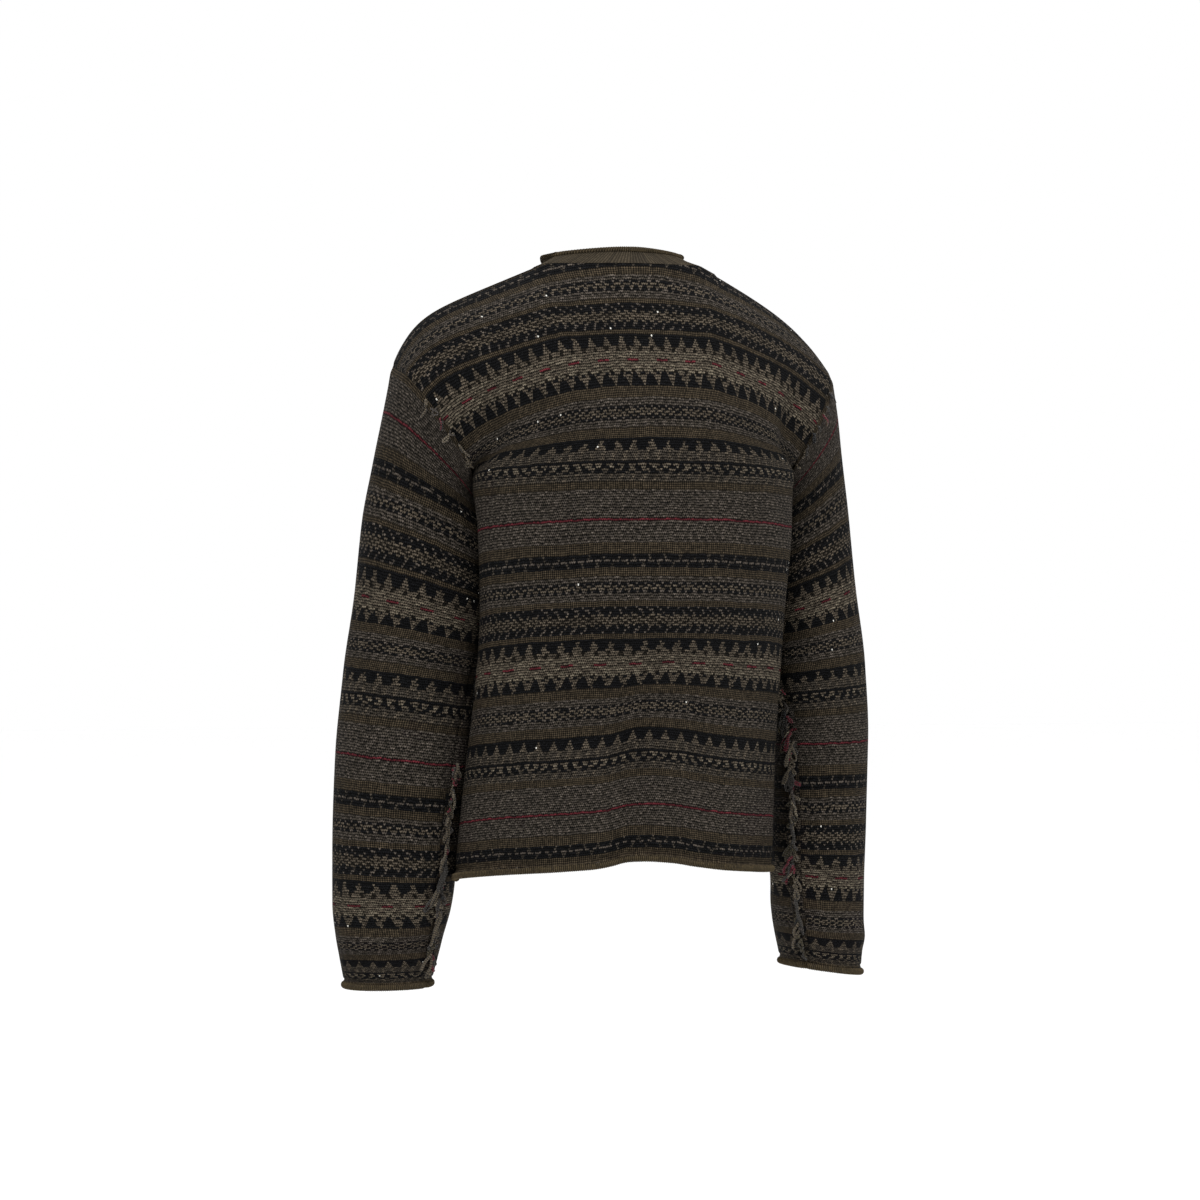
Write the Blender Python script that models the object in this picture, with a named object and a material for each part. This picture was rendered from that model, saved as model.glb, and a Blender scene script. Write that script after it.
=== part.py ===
import math

import bmesh
import bpy
import numpy as np
from mathutils import Vector

# A worn pullover knitted in bands, seen with its raw seams outside. Z is up, the front faces -Y and
# the wearer's left is +X. Lengths in the tables are in centimetres and knitted rows, counted down
# from the top edge of each panel. The origin is between the two side-neck points.
CM = 0.01
WALL = 0.3            # thickness of the knitted cloth
SEAM_HALF = 0.02      # each wall stops this far from its seam line
SEAM_BEVEL = 0.14     # how far the inner edge of a wall stands back at a seam
CREST_BEVEL = 0.36    # the same along the shoulder and the neck, where the cloth turns over
NECK_BEVEL = 0.12     # and along the neck
BAND_CLEAR = 0.05     # the neckband starts this far from the edge it is sewn to
BAND_BEVEL = 0.12
BAND_HOLLOW = 0.05    # the band sinks in this much half way up
BAND_WALL = 0.24
LIFT = 0.035          # clear space under pieces that lie on the cloth

ROWS = 306            # knitted rows from the shoulder to the hem roll
ARM_ROWS = 104        # rows from the shoulder to the underarm
SLEEVE_ROWS = 300     # rows of a sleeve down to its roll
NECK_SHARE = 0.33     # part of a half panel's top edge that borders the neck
NECK_X = 0.0          # the middle of the neck
NECK_HALF = 9.9       # half the neck's width between the side-neck points
NECK_BACK = 9.4       # how far back the nape lies
NECK_Z = 0.0          # height of the neck edge at the back
RIDGE_Y = 4.8         # the shoulder seam at the neck
NECK_DROP = 44        # rows cut away at the middle of the front neck

# Armhole: a tilted circle for each side
ARMHOLE = {
    1: dict(x=19.5, reach=4.5, y=-0.4, depth=6.9, z=-17.0, rise=6.2),
    -1: dict(x=-20.5, reach=3.0, y=-0.4, depth=6.9, z=-17.0, rise=6.2),
}

# How the shoulder falls towards its tip: an even slope from a start, and a bend near the tip
SHOULDER = {
    1: dict(slope=0.60, start=0.36, bend=14),
    -1: dict(slope=0.69, start=0.33, bend=7),
}
LEFT_TURN = 4         # the left side rounds out this much further (degrees)

# Side seams below the armholes
SIDE_COLUMNS = ("row", "left_x", "right_x", "y", "left_z", "right_z")
SIDES = (
    (104, 15.0, -17.5, -0.4, -23.2, -23.2),
    (128, 14.3, -17.2, -0.6, -28.4, -28.2),
    (170, 14.0, -16.7, -1.2, -37.8, -37.4),
    (201, 14.4, -16.7, -1.9, -44.1, -43.5),
    (252, 15.6, -16.8, -2.7, -54.2, -53.6),
    (306, 16.6, -17.0, -3.6, -64.6, -64.0),
)

# Across the body: where the middle of each row lies, how far its curve runs on from the middle and
# into the edge (shares), the turn of its edge in plan (degrees) and how much it follows the shoulder
ROW_COLUMNS = ("row", "mid_x", "mid_y", "mid_z", "reach", "arrive", "turn", "slope")
BACK_ROWS = (
    (0, 0.3, 9.4, 0.0, 0.5, 0.5, 10, 1.0),
    (20, 0.2, 11.8, -4.6, 0.44, 0.45, 12, 0.80),
    (51, -0.3, 14.5, -10.7, 0.55, 0.45, 22, 0.45),
    (75, -0.8, 16.2, -16.0, 0.58, 0.50, 60, 0.20),
    (104, -1.2, 16.9, -22.0, 0.60, 0.60, 110, 0.0),
    (128, -1.3, 16.6, -26.9, 0.62, 0.62, 112, 0.0),
    (170, -1.1, 15.2, -36.0, 0.62, 0.62, 112, 0.0),
    (201, -0.8, 13.8, -42.0, 0.62, 0.62, 110, 0.0),
    (252, -0.2, 11.2, -51.8, 0.62, 0.62, 107, 0.0),
    (306, 0.2, 9.8, -62.4, 0.62, 0.62, 104, 0.0),
)
FRONT_ROWS = (
    (0, 0.3, 4.8, 0.0, 0.5, 0.5, 10, 1.0),
    (20, 0.2, -0.4, -2.3, 0.45, 0.45, 12, 0.80),
    (51, -0.3, -5.6, -6.8, 0.55, 0.45, 22, 0.50),
    (75, -0.8, -7.8, -12.6, 0.58, 0.50, 45, 0.25),
    (104, -1.2, -8.8, -19.3, 0.60, 0.60, 72, 0.0),
    (128, -1.3, -9.2, -24.6, 0.62, 0.62, 68, 0.0),
    (170, -1.1, -10.8, -34.0, 0.62, 0.62, 68, 0.0),
    (201, -0.8, -12.3, -40.4, 0.62, 0.62, 70, 0.0),
    (252, -0.2, -14.4, -50.8, 0.62, 0.62, 73, 0.0),
    (306, 0.2, -15.2, -61.8, 0.62, 0.62, 76, 0.0),
)

# Sleeves: rings below the armhole, tilted between the inner and the outer height
RING_COLUMNS = ("row", "outer_z", "inner_z", "x", "y", "half_width", "half_depth", "seam_turn")
LEFT_RINGS = (
    (17, -15.3, -25.0, 19.9, -2.1, 4.6, 6.0, 0),
    (36, -20.4, -27.4, 19.6, -3.7, 5.8, 5.9, 4),
    (59, -27.0, -32.4, 20.05, -4.2, 6.45, 6.0, 12),
    (90, -34.9, -38.3, 20.5, -4.4, 6.8, 6.1, 22),
    (129, -42.9, -46.1, 21.4, -4.9, 7.0, 6.0, 34),
    (167, -51.3, -53.1, 22.25, -5.2, 6.95, 5.9, 46),
    (209, -61.2, -62.0, 23.0, -5.4, 6.5, 5.8, 50),
    (240, -67.7, -67.8, 23.35, -5.4, 6.15, 5.6, 48),
    (264, -71.9, -71.6, 23.5, -5.3, 5.5, 5.4, 46),
    (300, -75.9, -75.7, 23.6, -5.2, 4.7, 4.9, 42),
)
RIGHT_RINGS = (
    (17, -15.1, -24.8, -21.3, -1.8, 3.3, 6.3, 0),
    (36, -20.0, -27.2, -21.6, -3.3, 4.0, 6.2, 6),
    (59, -26.4, -31.8, -22.0, -4.4, 4.7, 6.2, 14),
    (90, -34.0, -37.4, -22.5, -4.8, 5.1, 6.2, 26),
    (129, -41.9, -44.8, -23.3, -5.2, 5.5, 6.1, 36),
    (167, -50.5, -52.0, -24.0, -5.4, 5.2, 6.0, 44),
    (209, -59.6, -60.0, -24.0, -5.5, 5.0, 5.8, 48),
    (240, -65.6, -65.0, -23.85, -5.5, 4.95, 5.6, 50),
    (264, -70.2, -68.8, -23.9, -5.4, 4.8, 5.4, 52),
    (300, -75.2, -74.0, -24.0, -5.3, 4.4, 4.9, 54),
)

# Largest folds, each a soft valley (negative) or ridge along a line from a to b across the cloth
FOLD_FADE = 0.30      # share of a fold's length over which each end dies away
BODY_FOLD_ROWS = 240  # rows that count as one share across, for measuring a fold's width
SLEEVE_FOLD_ROWS = 190
FOLD_COLUMNS = ("across_a", "row_a", "across_b", "row_b", "half_width", "height")
BODY_FOLDS = {
    "back": (
        (0.79, 34, 0.83, 97, 0.062, -0.50),
        (-0.83, 34, -0.82, 97, 0.062, -0.48),
        (0.66, 60, 0.72, 118, 0.075, 0.30),
        (-0.68, 60, -0.68, 118, 0.075, 0.28),
        (0.05, 200, 0.04, 345, 0.075, -0.60),
        (-0.15, 222, -0.15, 345, 0.100, 0.30),
        (0.30, 214, 0.38, 345, 0.130, 0.38),
        (-0.46, 232, -0.43, 345, 0.120, 0.30),
    ),
    "front": (
        (0.82, 40, 0.86, 106, 0.065, -0.42),
        (-0.83, 40, -0.85, 106, 0.065, -0.40),
        (0.30, 190, 0.40, 330, 0.120, 0.40),
        (-0.10, 236, -0.06, 330, 0.100, -0.45),
        (-0.44, 205, -0.42, 330, 0.130, 0.35),
    ),
}
HEM_SWAY_ROWS = (180, 245)   # between these rows the back's last bands take on the sway
HEM_SWAY_COLUMNS = ("across", "rise")
HEM_SWAY = (
    (-1.0, 0.0),
    (-0.84, -0.22),
    (-0.62, -0.44),
    (-0.42, -0.34),
    (-0.28, -0.05),
    (-0.17, 0.36),
    (-0.07, 0.50),
    (0.01, 0.34),
    (0.09, -0.05),
    (0.20, -0.28),
    (0.42, -0.32),
    (0.70, -0.22),
    (1.0, 0.0),
)
SLEEVE_FOLDS = {
    1: (
        (-0.05, 210, 0.25, 232, 0.050, 0.28),
        (-0.04, 228, 0.31, 250, 0.040, -0.42),
        (-0.02, 248, 0.41, 266, 0.045, 0.38),
        (-0.05, 264, 0.35, 280, 0.038, -0.38),
        (0.55, 222, 0.90, 238, 0.050, 0.30),
        (0.52, 246, 0.92, 262, 0.045, -0.36),
        (0.40, 140, 0.70, 158, 0.080, -0.35),
        (0.10, 96, 0.42, 112, 0.075, -0.30),
    ),
    -1: (
        (-0.02, 222, 0.26, 242, 0.050, 0.28),
        (-0.04, 242, 0.30, 258, 0.042, -0.38),
        (0.00, 262, 0.36, 278, 0.045, 0.32),
        (0.55, 230, 0.90, 248, 0.050, -0.32),
        (0.42, 150, 0.74, 166, 0.080, -0.30),
    ),
}

# Neckband: the ring its upper edge follows
BAND_TOP = dict(x=0.8, y=1.9, half_width=6.9, back=6.3, front=5.9, back_z=1.25, side_z=0.85, front_z=-3.9)
ROLL = {"neck": (0.27, 0.30), "hem": (0.28, 0.38), "cuff": (0.28, 0.38)}   # half thickness, half height

# Seam allowances left outside, each a narrow strip that stands on its seam and carries yarn ends
STRIP_COLUMNS = ("lift", "height", "half_width")   # the lift is the clear space under a strip
STRIP = {"armhole": (0.17, 0.22, 0.11), "sleeve": (0.16, 0.46, 0.20)}
STRIP_STEP = 1.6      # longest step along a strip
ROOT_HALF = 0.13
STRAND_STEPS = 4
STRAND_HALF = 0.12    # from a strand's middle to its corners
STRAND_TIP = 0.7
STRAND_CLEAR = 0.29   # least distance between the middles of two strands
ARMHOLE_STRIP_END = {"back": 0.74, "front": 0.74}   # share of the way from the shoulder to the underarm
SLEEVE_STRIP_ROWS = {1: (142, 294), -1: (112, 294)}
ARMHOLE_ENDS = {
    1: dict(seed=12, count=12, where=(0.03, 0.97), lengths=(0.8, 2.2), rises=(0.3, 0.55), leans=(0.2, 0.8)),
    -1: dict(seed=10, count=12, where=(0.03, 0.97), lengths=(0.8, 2.2), rises=(0.3, 0.55), leans=(0.2, 0.8)),
}
SLEEVE_ENDS = {
    1: dict(seed=37, count=22, where=(0.09, 0.95), lengths=(0.9, 2.3), rises=(0.3, 0.42), leans=(0.25, 0.7)),
    -1: dict(seed=20, count=24, where=(0.02, 0.98), lengths=(0.9, 2.6), rises=(0.35, 0.6), leans=(0.3, 1.0)),
}

BACK_HALF = (0, 0.08, 0.17, 0.25, 0.33, 0.42, 0.50, 0.58, 0.65, 0.71, 0.76, 0.80, 0.84, 0.88, 0.94, 1)
FRONT_HALF = (0, 0.07, 0.14, 0.20, 0.25, 0.285, 0.31, 0.33, 0.42, 0.53, 0.63, 0.71, 0.78, 0.84, 0.91, 1)
ARM_STEPS = 10
BODY_STEPS = 15
SLEEVE_COLUMNS = 20
SLEEVE_STEPS = (16, 16)   # above and below the gathered part
GATHER_ROW = 196

OLIVE = (0.105, 0.088, 0.058, 1)
MAUVE = (0.165, 0.138, 0.120, 1)
TAN = (0.26, 0.21, 0.135, 1)

for old in list(bpy.data.objects):
    bpy.data.objects.remove(old)


def cubic(knots, values, at):
    """Smooth curve through a table that doesn't swing past its values."""
    knots = np.asarray(knots, float)
    values = np.asarray(values, float)
    at = np.asarray(at, float)
    step = np.diff(knots)[:, None]
    rise = np.diff(values, axis=0) / step
    slope = np.zeros_like(values)
    w1 = 2 * step[1:] + step[:-1]
    w2 = step[1:] + 2 * step[:-1]
    safe = np.where(rise == 0, 1.0, rise)
    mean = (w1 + w2) / (w1 / safe[:-1] + w2 / safe[1:])
    slope[1:-1] = np.where(rise[1:] * rise[:-1] > 0, mean, 0)
    slope[0] = rise[0]
    slope[-1] = rise[-1]
    i = np.clip(np.searchsorted(knots, at, side="right") - 1, 0, len(knots) - 2)
    h = step[i]
    t = (at - knots[i])[:, None] / h
    return (
        values[i] * (1 + 2 * t) * (1 - t) ** 2
        + slope[i] * h * t * (1 - t) ** 2
        + values[i + 1] * t * t * (3 - 2 * t)
        + slope[i + 1] * h * t * t * (t - 1)
    )


def shoulder_fall(side, share):
    """Share of the drop from neck to shoulder tip that a point this far out has."""
    fall = SHOULDER[side]
    even_part = np.clip((share - fall["start"]) / (1 - fall["start"]), 0, None)
    return fall["slope"] * even_part + (1 - fall["slope"]) * share ** fall["bend"]


def armhole_point(side, panel, row):
    a = ARMHOLE[side]
    angle = math.pi * row / ARM_ROWS
    sign = 1 if panel == "back" else -1
    return np.array([
        a["x"] + side * a["reach"] * math.cos(angle),
        a["y"] + sign * a["depth"] * math.sin(angle),
        a["z"] + a["rise"] * math.cos(angle),
    ])


def edge_point(side, panel, row):
    if row <= ARM_ROWS:
        return armhole_point(side, panel, row)
    table = np.array(SIDES)
    found = cubic(table[:, 0], table[:, 1:], [row])[0]
    return np.array([found[0] if side > 0 else found[1], found[2], found[3] if side > 0 else found[4]])


def even(line, shares):
    """Points at these shares of a line's length."""
    length = np.concatenate([[0], np.cumsum(np.linalg.norm(np.diff(line, axis=0), axis=1))])
    return np.stack([np.interp(np.asarray(shares) * length[-1], length, line[:, k]) for k in range(3)], 1)


def top_row(side, panel, shares):
    tip = armhole_point(side, panel, 0)
    s = np.linspace(0, 1, 161)
    x = NECK_X + s * (tip[0] - NECK_X)
    z = NECK_Z + (tip[2] - NECK_Z) * shoulder_fall(side, s)
    inside = NECK_HALF / abs(tip[0] - NECK_X)
    out = np.clip((s - inside) / (1 - inside), 0, 1)
    y = RIDGE_Y + (tip[1] - RIDGE_Y) * out
    swell = np.cos(np.clip(s / inside, 0, 1) * math.pi / 2)
    if panel == "back":
        y = y + (NECK_BACK - RIDGE_Y) * swell
    line = np.stack([x, y, z], 1)
    neck = line[s <= inside]
    shoulder = line[s >= inside]
    shares = np.asarray(shares)
    a = even(neck, np.clip(shares / NECK_SHARE, 0, 1))
    b = even(shoulder, np.clip((shares - NECK_SHARE) / (1 - NECK_SHARE), 0, 1))
    return np.where((shares < NECK_SHARE)[:, None], a, b)


def table_row(side, panel, entry, shares):
    row, mid_x, mid_y, mid_z, reach, arrive, turn, slope = entry
    if row == 0:
        return top_row(side, panel, shares)
    mid = np.array([mid_x, mid_y, mid_z])
    edge = edge_point(side, panel, row)
    past = LEFT_TURN if side > 0 and row >= ARM_ROWS else 0
    angle = math.radians(turn + past if panel == "back" else turn - past)
    sign = -1 if panel == "back" else 1
    inward = np.array([side * math.cos(angle), sign * math.sin(angle)])
    a = mid[:2]
    b = a + np.array([side * reach * abs(edge[0] - mid[0]), 0])
    d = edge[:2]
    c = d - inward * arrive * max(abs(edge[1] - mid[1]), 6)
    t = np.linspace(0, 1, 81)[:, None]
    plan = a * (1 - t) ** 3 + 3 * b * t * (1 - t) ** 2 + 3 * c * t * t * (1 - t) + d * t ** 3
    out = np.concatenate([[0], np.cumsum(np.linalg.norm(np.diff(plan, axis=0), axis=1))])
    out = out / out[-1]
    fall = slope * shoulder_fall(side, out) + (1 - slope) * out ** 2
    line = np.column_stack([plan, mid[2] + (edge[2] - mid[2]) * fall])
    return even(line, shares)


def fold_height(folds, across, row, row_scale):
    """Height of the folds over a grid of places on the cloth."""
    height = np.zeros_like(across)
    for ax, ar, bx, br, width, tall in folds:
        dx = bx - ax
        dr = (br - ar) / row_scale
        long2 = dx * dx + dr * dr
        down = (row - ar) / row_scale
        t = ((across - ax) * dx + down * dr) / long2
        away = np.abs((across - ax) * dr - down * dx) / math.sqrt(long2)
        ends = np.clip(t / FOLD_FADE, 0, 1) * np.clip((1 - t) / FOLD_FADE, 0, 1)
        ends = ends * ends * (3 - 2 * ends)
        height += tall * np.exp(-(away / width) ** 2) * ends
    return height


def unit(vectors):
    return vectors / np.linalg.norm(vectors, axis=-1, keepdims=True)


def neck_rows(panel, across):
    """Rows cut away at the neck."""
    inside = np.clip(np.abs(across) / NECK_SHARE, 0, 1)
    depth = NECK_DROP if panel == "front" else 1.5
    return depth * np.clip(1 - inside ** 2.4, 0, 1) ** 0.62


def steps_down():
    """Shares of a panel's length at which it has points, with even steps along the armhole."""
    arm = ARM_ROWS / ROWS * np.arange(ARM_STEPS) / ARM_STEPS
    rest = ARM_ROWS / ROWS + (1 - ARM_ROWS / ROWS) * np.arange(BODY_STEPS + 1) / BODY_STEPS
    return np.concatenate([arm, rest])


def body_points(panel, across, rows):
    """Bare points of a panel at these shares across (a column each) and rows down."""
    table = BACK_ROWS if panel == "back" else FRONT_ROWS
    knots = [entry[0] for entry in table]
    keys = np.zeros((len(table), len(across), 3))
    for side in (-1, 1):
        here = across >= 0 if side > 0 else across < 0
        for k, entry in enumerate(table):
            keys[k, here] = table_row(side, panel, entry, np.abs(across[here]))
    return np.stack([cubic(knots, keys[:, j], rows[:, j]) for j in range(len(across))], axis=1)


def body_normals(panel, across, rows):
    small = 0.008
    wider = body_points(panel, np.clip(across + small, -1, 1), rows)
    wider = wider - body_points(panel, np.clip(across - small, -1, 1), rows)
    down = body_points(panel, across, np.clip(rows + 2, 0, ROWS))
    down = down - body_points(panel, across, np.clip(rows - 2, 0, ROWS))
    return unit(np.cross(wider, down)) * (1 if panel == "back" else -1)


def body_panel(panel, across, share):
    """Outer points of a panel, a grid of rows from its top edge down, and its outward directions."""
    top = neck_rows(panel, across)
    rows = top[None, :] + share[:, None] * (ROWS - top[None, :])
    points = body_points(panel, across, rows)
    out = body_normals(panel, across, rows)
    wide = np.broadcast_to(across[None, :], rows.shape)
    near_edge = np.clip((1 - np.abs(wide)) / 0.06, 0, 1)
    height = fold_height(BODY_FOLDS[panel], wide, rows, BODY_FOLD_ROWS) * near_edge
    points = points + out * height[..., None]
    points[..., 2] += hem_sway(panel, wide, rows)
    return points, surface_normals(points, out)


def hem_sway(panel, across, rows):
    """How far the back's last bands rise and fall across its width."""
    if panel == "front":
        return np.zeros_like(across)
    first, last = HEM_SWAY_ROWS
    share = np.clip((rows - first) / (last - first), 0, 1)
    table = np.array(HEM_SWAY)
    rise = cubic(table[:, 0], table[:, 1:], across.ravel()).reshape(across.shape)
    return rise * share * share * (3 - 2 * share)


def surface_normals(points, guide):
    """Directions square to a folded grid; its borders keep the plain cloth's directions."""
    n = unit(np.cross(np.gradient(points, axis=1), np.gradient(points, axis=0)))
    n *= np.sign(np.sum(n * guide, axis=2, keepdims=True))
    n[0] = guide[0]
    n[:, 0] = guide[:, 0]
    n[:, -1] = guide[:, -1]
    near = np.sum(n * guide, axis=2, keepdims=True) > 0.7
    return np.where(near, n, guide)


def armhole_line(side, panel, rows):
    """The edge of a panel along its armhole, on the same curve as the panel's own points."""
    table = BACK_ROWS if panel == "back" else FRONT_ROWS
    knots = [entry[0] for entry in table]
    keys = np.array([edge_point(side, panel, row) for row in knots])
    return cubic(knots, keys, rows)


def sleeve_keys(side, around):
    rings = LEFT_RINGS if side > 0 else RIGHT_RINGS
    rows = ARM_ROWS * np.abs(1 - 2 * around)
    rear = armhole_line(side, "back", rows)
    fore = armhole_line(side, "front", rows)
    keys = [np.where((around <= 0.5)[:, None], rear, fore)]
    for row, outer, inner, x, y, wide, deep, turn in rings:
        angle = math.pi - 2 * math.pi * around - math.radians(turn)
        px = x + side * wide * np.cos(angle)
        py = y + deep * np.sin(angle)
        pz = inner + (outer - inner) * (1 + np.cos(angle)) / 2
        keys.append(np.stack([px, py, pz], 1))
    return [0] + [entry[0] for entry in rings], np.stack(keys)


def sleeve(side, columns, rows):
    """Outer points of a sleeve, a ring for each row, and its outward directions."""
    around = np.arange(columns) / columns
    knots, keys = sleeve_keys(side, around)
    points = np.stack([cubic(knots, keys[:, j], rows) for j in range(columns)], axis=1)
    out = tube_normals(points, side)
    wide = np.broadcast_to(around[None, :], points.shape[:2])
    down = np.broadcast_to(np.asarray(rows)[:, None], points.shape[:2])
    height = np.zeros(wide.shape)
    for shift in (-1, 0, 1):
        height += fold_height(SLEEVE_FOLDS[side], wide + shift, down, SLEEVE_FOLD_ROWS)
    points = points + out * height[..., None]
    return points, tube_normals(points, side)


def tube_normals(points, side):
    across = np.roll(points, -1, axis=1) - np.roll(points, 1, axis=1)
    return unit(np.cross(across, np.gradient(points, axis=0))) * side


def material(name, colour, rough=0.95):
    made = bpy.data.materials.new(name)
    made.use_nodes = True
    shader = made.node_tree.nodes["Principled BSDF"]
    shader.inputs["Base Color"].default_value = colour
    shader.inputs["Roughness"].default_value = rough
    shader.inputs["Metallic"].default_value = 0.0
    return made


def add(name, vertices, faces, colour):
    mesh = bpy.data.meshes.new(name)
    mesh.from_pydata([tuple(float(c) * CM for c in v) for v in vertices], [], faces)
    shape = bmesh.new()
    shape.from_mesh(mesh)
    bmesh.ops.recalc_face_normals(shape, faces=shape.faces)
    for face in shape.faces:
        face.smooth = True
    shape.to_mesh(mesh)
    shape.free()
    made = bpy.data.objects.new(name, mesh)
    bpy.context.scene.collection.objects.link(made)
    mesh.materials.append(material(name + "_yarn", colour))
    return made


def drawn_in(points, amount, where):
    """The grid with one of its borders pulled towards its inside by this amount."""
    moved = points.copy()
    if where == "top":
        moved[0] += unit(points[1] - points[0]) * np.reshape(amount, (-1, 1))
    elif where == "bottom":
        moved[-1] += unit(points[-2] - points[-1]) * amount
    elif where == "first":
        moved[:, 0] += unit(points[:, 1] - points[:, 0]) * amount
    else:
        moved[:, -1] += unit(points[:, -2] - points[:, -1]) * amount
    return moved


def shell(name, points, out, closed, bevels, colour):
    """A wall with these outer points, its borders kept off their seams."""
    inside = points - out * WALL
    outer = points
    for where, bevel in bevels.items():
        outer = drawn_in(outer, SEAM_HALF, where)
        inside = drawn_in(inside, SEAM_HALF + bevel, where)
    rows, columns = points.shape[:2]
    vertices = np.concatenate([outer.reshape(-1, 3), inside.reshape(-1, 3)])
    shift = rows * columns
    faces = []
    for r in range(rows - 1):
        for c in range(columns if closed else columns - 1):
            d = (c + 1) % columns
            quad = (r * columns + c, r * columns + d, (r + 1) * columns + d, (r + 1) * columns + c)
            faces.append(quad)
            faces.append(tuple(shift + v for v in reversed(quad)))
    border = []
    for c in range(columns if closed else columns - 1):
        d = (c + 1) % columns
        border.append((c, d))
        border.append(((rows - 1) * columns + d, (rows - 1) * columns + c))
    if not closed:
        for r in range(rows - 1):
            border.append(((r + 1) * columns, r * columns))
            border.append((r * columns + columns - 1, (r + 1) * columns + columns - 1))
    for a, b in border:
        faces.append((b, a, shift + a, shift + b))
    return add(name, vertices, faces, colour)


def ring_tube(name, path, up, out, half_out, half_up, sides, colour):
    """A closed roll along a path, its section an ellipse between two directions."""
    count = len(path)
    vertices = []
    for k in range(sides):
        angle = 2 * math.pi * k / sides
        vertices.append(path + out * half_out * math.cos(angle) + up * half_up * math.sin(angle))
    vertices = np.concatenate(vertices)
    faces = []
    for k in range(sides):
        for i in range(count):
            a = k * count + i
            b = k * count + (i + 1) % count
            c = ((k + 1) % sides) * count + (i + 1) % count
            d = ((k + 1) % sides) * count + i
            faces.append((a, b, c, d))
    return add(name, vertices, faces, colour)


def loop_tangent(loop):
    return unit(np.roll(loop, -1, axis=0) - np.roll(loop, 1, axis=0))


def roll_below(name, loop, above, half, colour, sides=8):
    """A roll under the lower edge of a tube of cloth, on the same points and just clear of them."""
    thick, tall = half
    tangent = loop_tangent(loop)
    up = unit(above - loop)
    up = unit(up - tangent * np.sum(up * tangent, axis=1, keepdims=True))
    out = np.cross(up, tangent)
    out *= np.sign(np.sum(out * (loop - loop.mean(axis=0)), axis=1, keepdims=True))
    path = loop - up * (tall + LIFT) - out * (WALL / 2 - 0.06)
    return ring_tube(name, path, up, out, thick, tall, sides, colour)


# ---- body
def both_ways(half):
    half = np.array(half, float)
    return np.concatenate([-half[:0:-1], half])


def edge_bevels(across):
    """Seam bevels of a panel, with more along its shoulders, where the cloth turns over."""
    top = np.where(np.abs(across) > NECK_SHARE - 0.005, CREST_BEVEL, NECK_BEVEL)
    return {"first": SEAM_BEVEL, "last": SEAM_BEVEL, "top": top, "bottom": 0}


back_across = both_ways(BACK_HALF)
front_across = both_ways(FRONT_HALF)
back, back_out = body_panel("back", back_across, steps_down())
front, front_out = body_panel("front", front_across, steps_down())
shell("back_panel", back, back_out, False, edge_bevels(back_across), MAUVE)
shell("front_panel", front, front_out, False, edge_bevels(front_across), MAUVE)

# ---- sleeves
upper = np.linspace(0, GATHER_ROW, SLEEVE_STEPS[0] + 1)[:-1]
sleeve_rows = np.concatenate([upper, np.linspace(GATHER_ROW, SLEEVE_ROWS, SLEEVE_STEPS[1] + 1)])
sleeves = {}
for side, word in ((1, "left"), (-1, "right")):
    sleeves[side], sleeve_out = sleeve(side, SLEEVE_COLUMNS, sleeve_rows)
    shell(word + "_sleeve", sleeves[side], sleeve_out, True, {"top": SEAM_BEVEL, "bottom": 0}, MAUVE)

# ---- rolled hem and sleeve ends
hem_loop = np.concatenate([back[-1], front[-1][::-1][1:-1]])
hem_above = np.concatenate([back[-2], front[-2][::-1][1:-1]])
roll_below("hem_roll", hem_loop, hem_above, ROLL["hem"], OLIVE)
for side, word in ((1, "left"), (-1, "right")):
    ends = sleeves[side]
    roll_below(word + "_cuff_roll", ends[-1], ends[-2], ROLL["cuff"], OLIVE)

# ---- neckband, on the points of the panels' neck edges
rear = back[0][np.abs(back_across) <= NECK_SHARE + 0.001]
fore = front[0][np.abs(front_across) <= NECK_SHARE + 0.001]
base = np.concatenate([rear, fore[::-1][1:-1]])


def band_top(angle):
    b = BAND_TOP
    depth = np.where(np.sin(angle) > 0, b["back"], b["front"])
    end_z = np.where(np.sin(angle) > 0, b["back_z"], b["front_z"])
    z = b["side_z"] + (end_z - b["side_z"]) * np.sin(angle) ** 2
    return np.stack([b["x"] + b["half_width"] * np.cos(angle), b["y"] + depth * np.sin(angle), z], 1)


def quarter_turns(line):
    """Angle of each point of a half neck edge, from 0 at its first point to a right angle."""
    steps = np.linalg.norm(np.diff(line, axis=0), axis=1)
    return math.pi / 2 * np.concatenate([[0], np.cumsum(steps)]) / steps.sum()


half_rear = len(rear) // 2
half_fore = len(fore) // 2
rear_right = quarter_turns(rear[:half_rear + 1])
rear_left = quarter_turns(rear[half_rear:][::-1])
fore_right = quarter_turns(fore[:half_fore + 1])
fore_left = quarter_turns(fore[half_fore:][::-1])
angles = np.concatenate([
    math.pi - rear_right,
    rear_left[::-1][1:],
    -fore_left[1:],
    fore_right[::-1][1:-1] - math.pi,
])
high = band_top(angles)
climb = unit(high - base)
away = np.cross(loop_tangent(base) + loop_tangent(high), climb)
middle = np.array([NECK_X, RIDGE_Y, 0.0])
away = unit(away) * np.sign(np.sum(away * (base - middle), axis=1, keepdims=True))
for _ in range(2):
    away = unit(away + 0.5 * (np.roll(away, 1, axis=0) + np.roll(away, -1, axis=0)))
    away = unit(away - climb * np.sum(away * climb, axis=1, keepdims=True))
low = base + climb * (LIFT + BAND_CLEAR)
half_way = (low + high) / 2 - away * BAND_HOLLOW
inner = [high - away * BAND_WALL, half_way - away * BAND_WALL, low - away * BAND_WALL + climb * BAND_BEVEL]
corners = [low, half_way, high] + inner
count = len(base)
vertices = np.concatenate(corners)
faces = []
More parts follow.
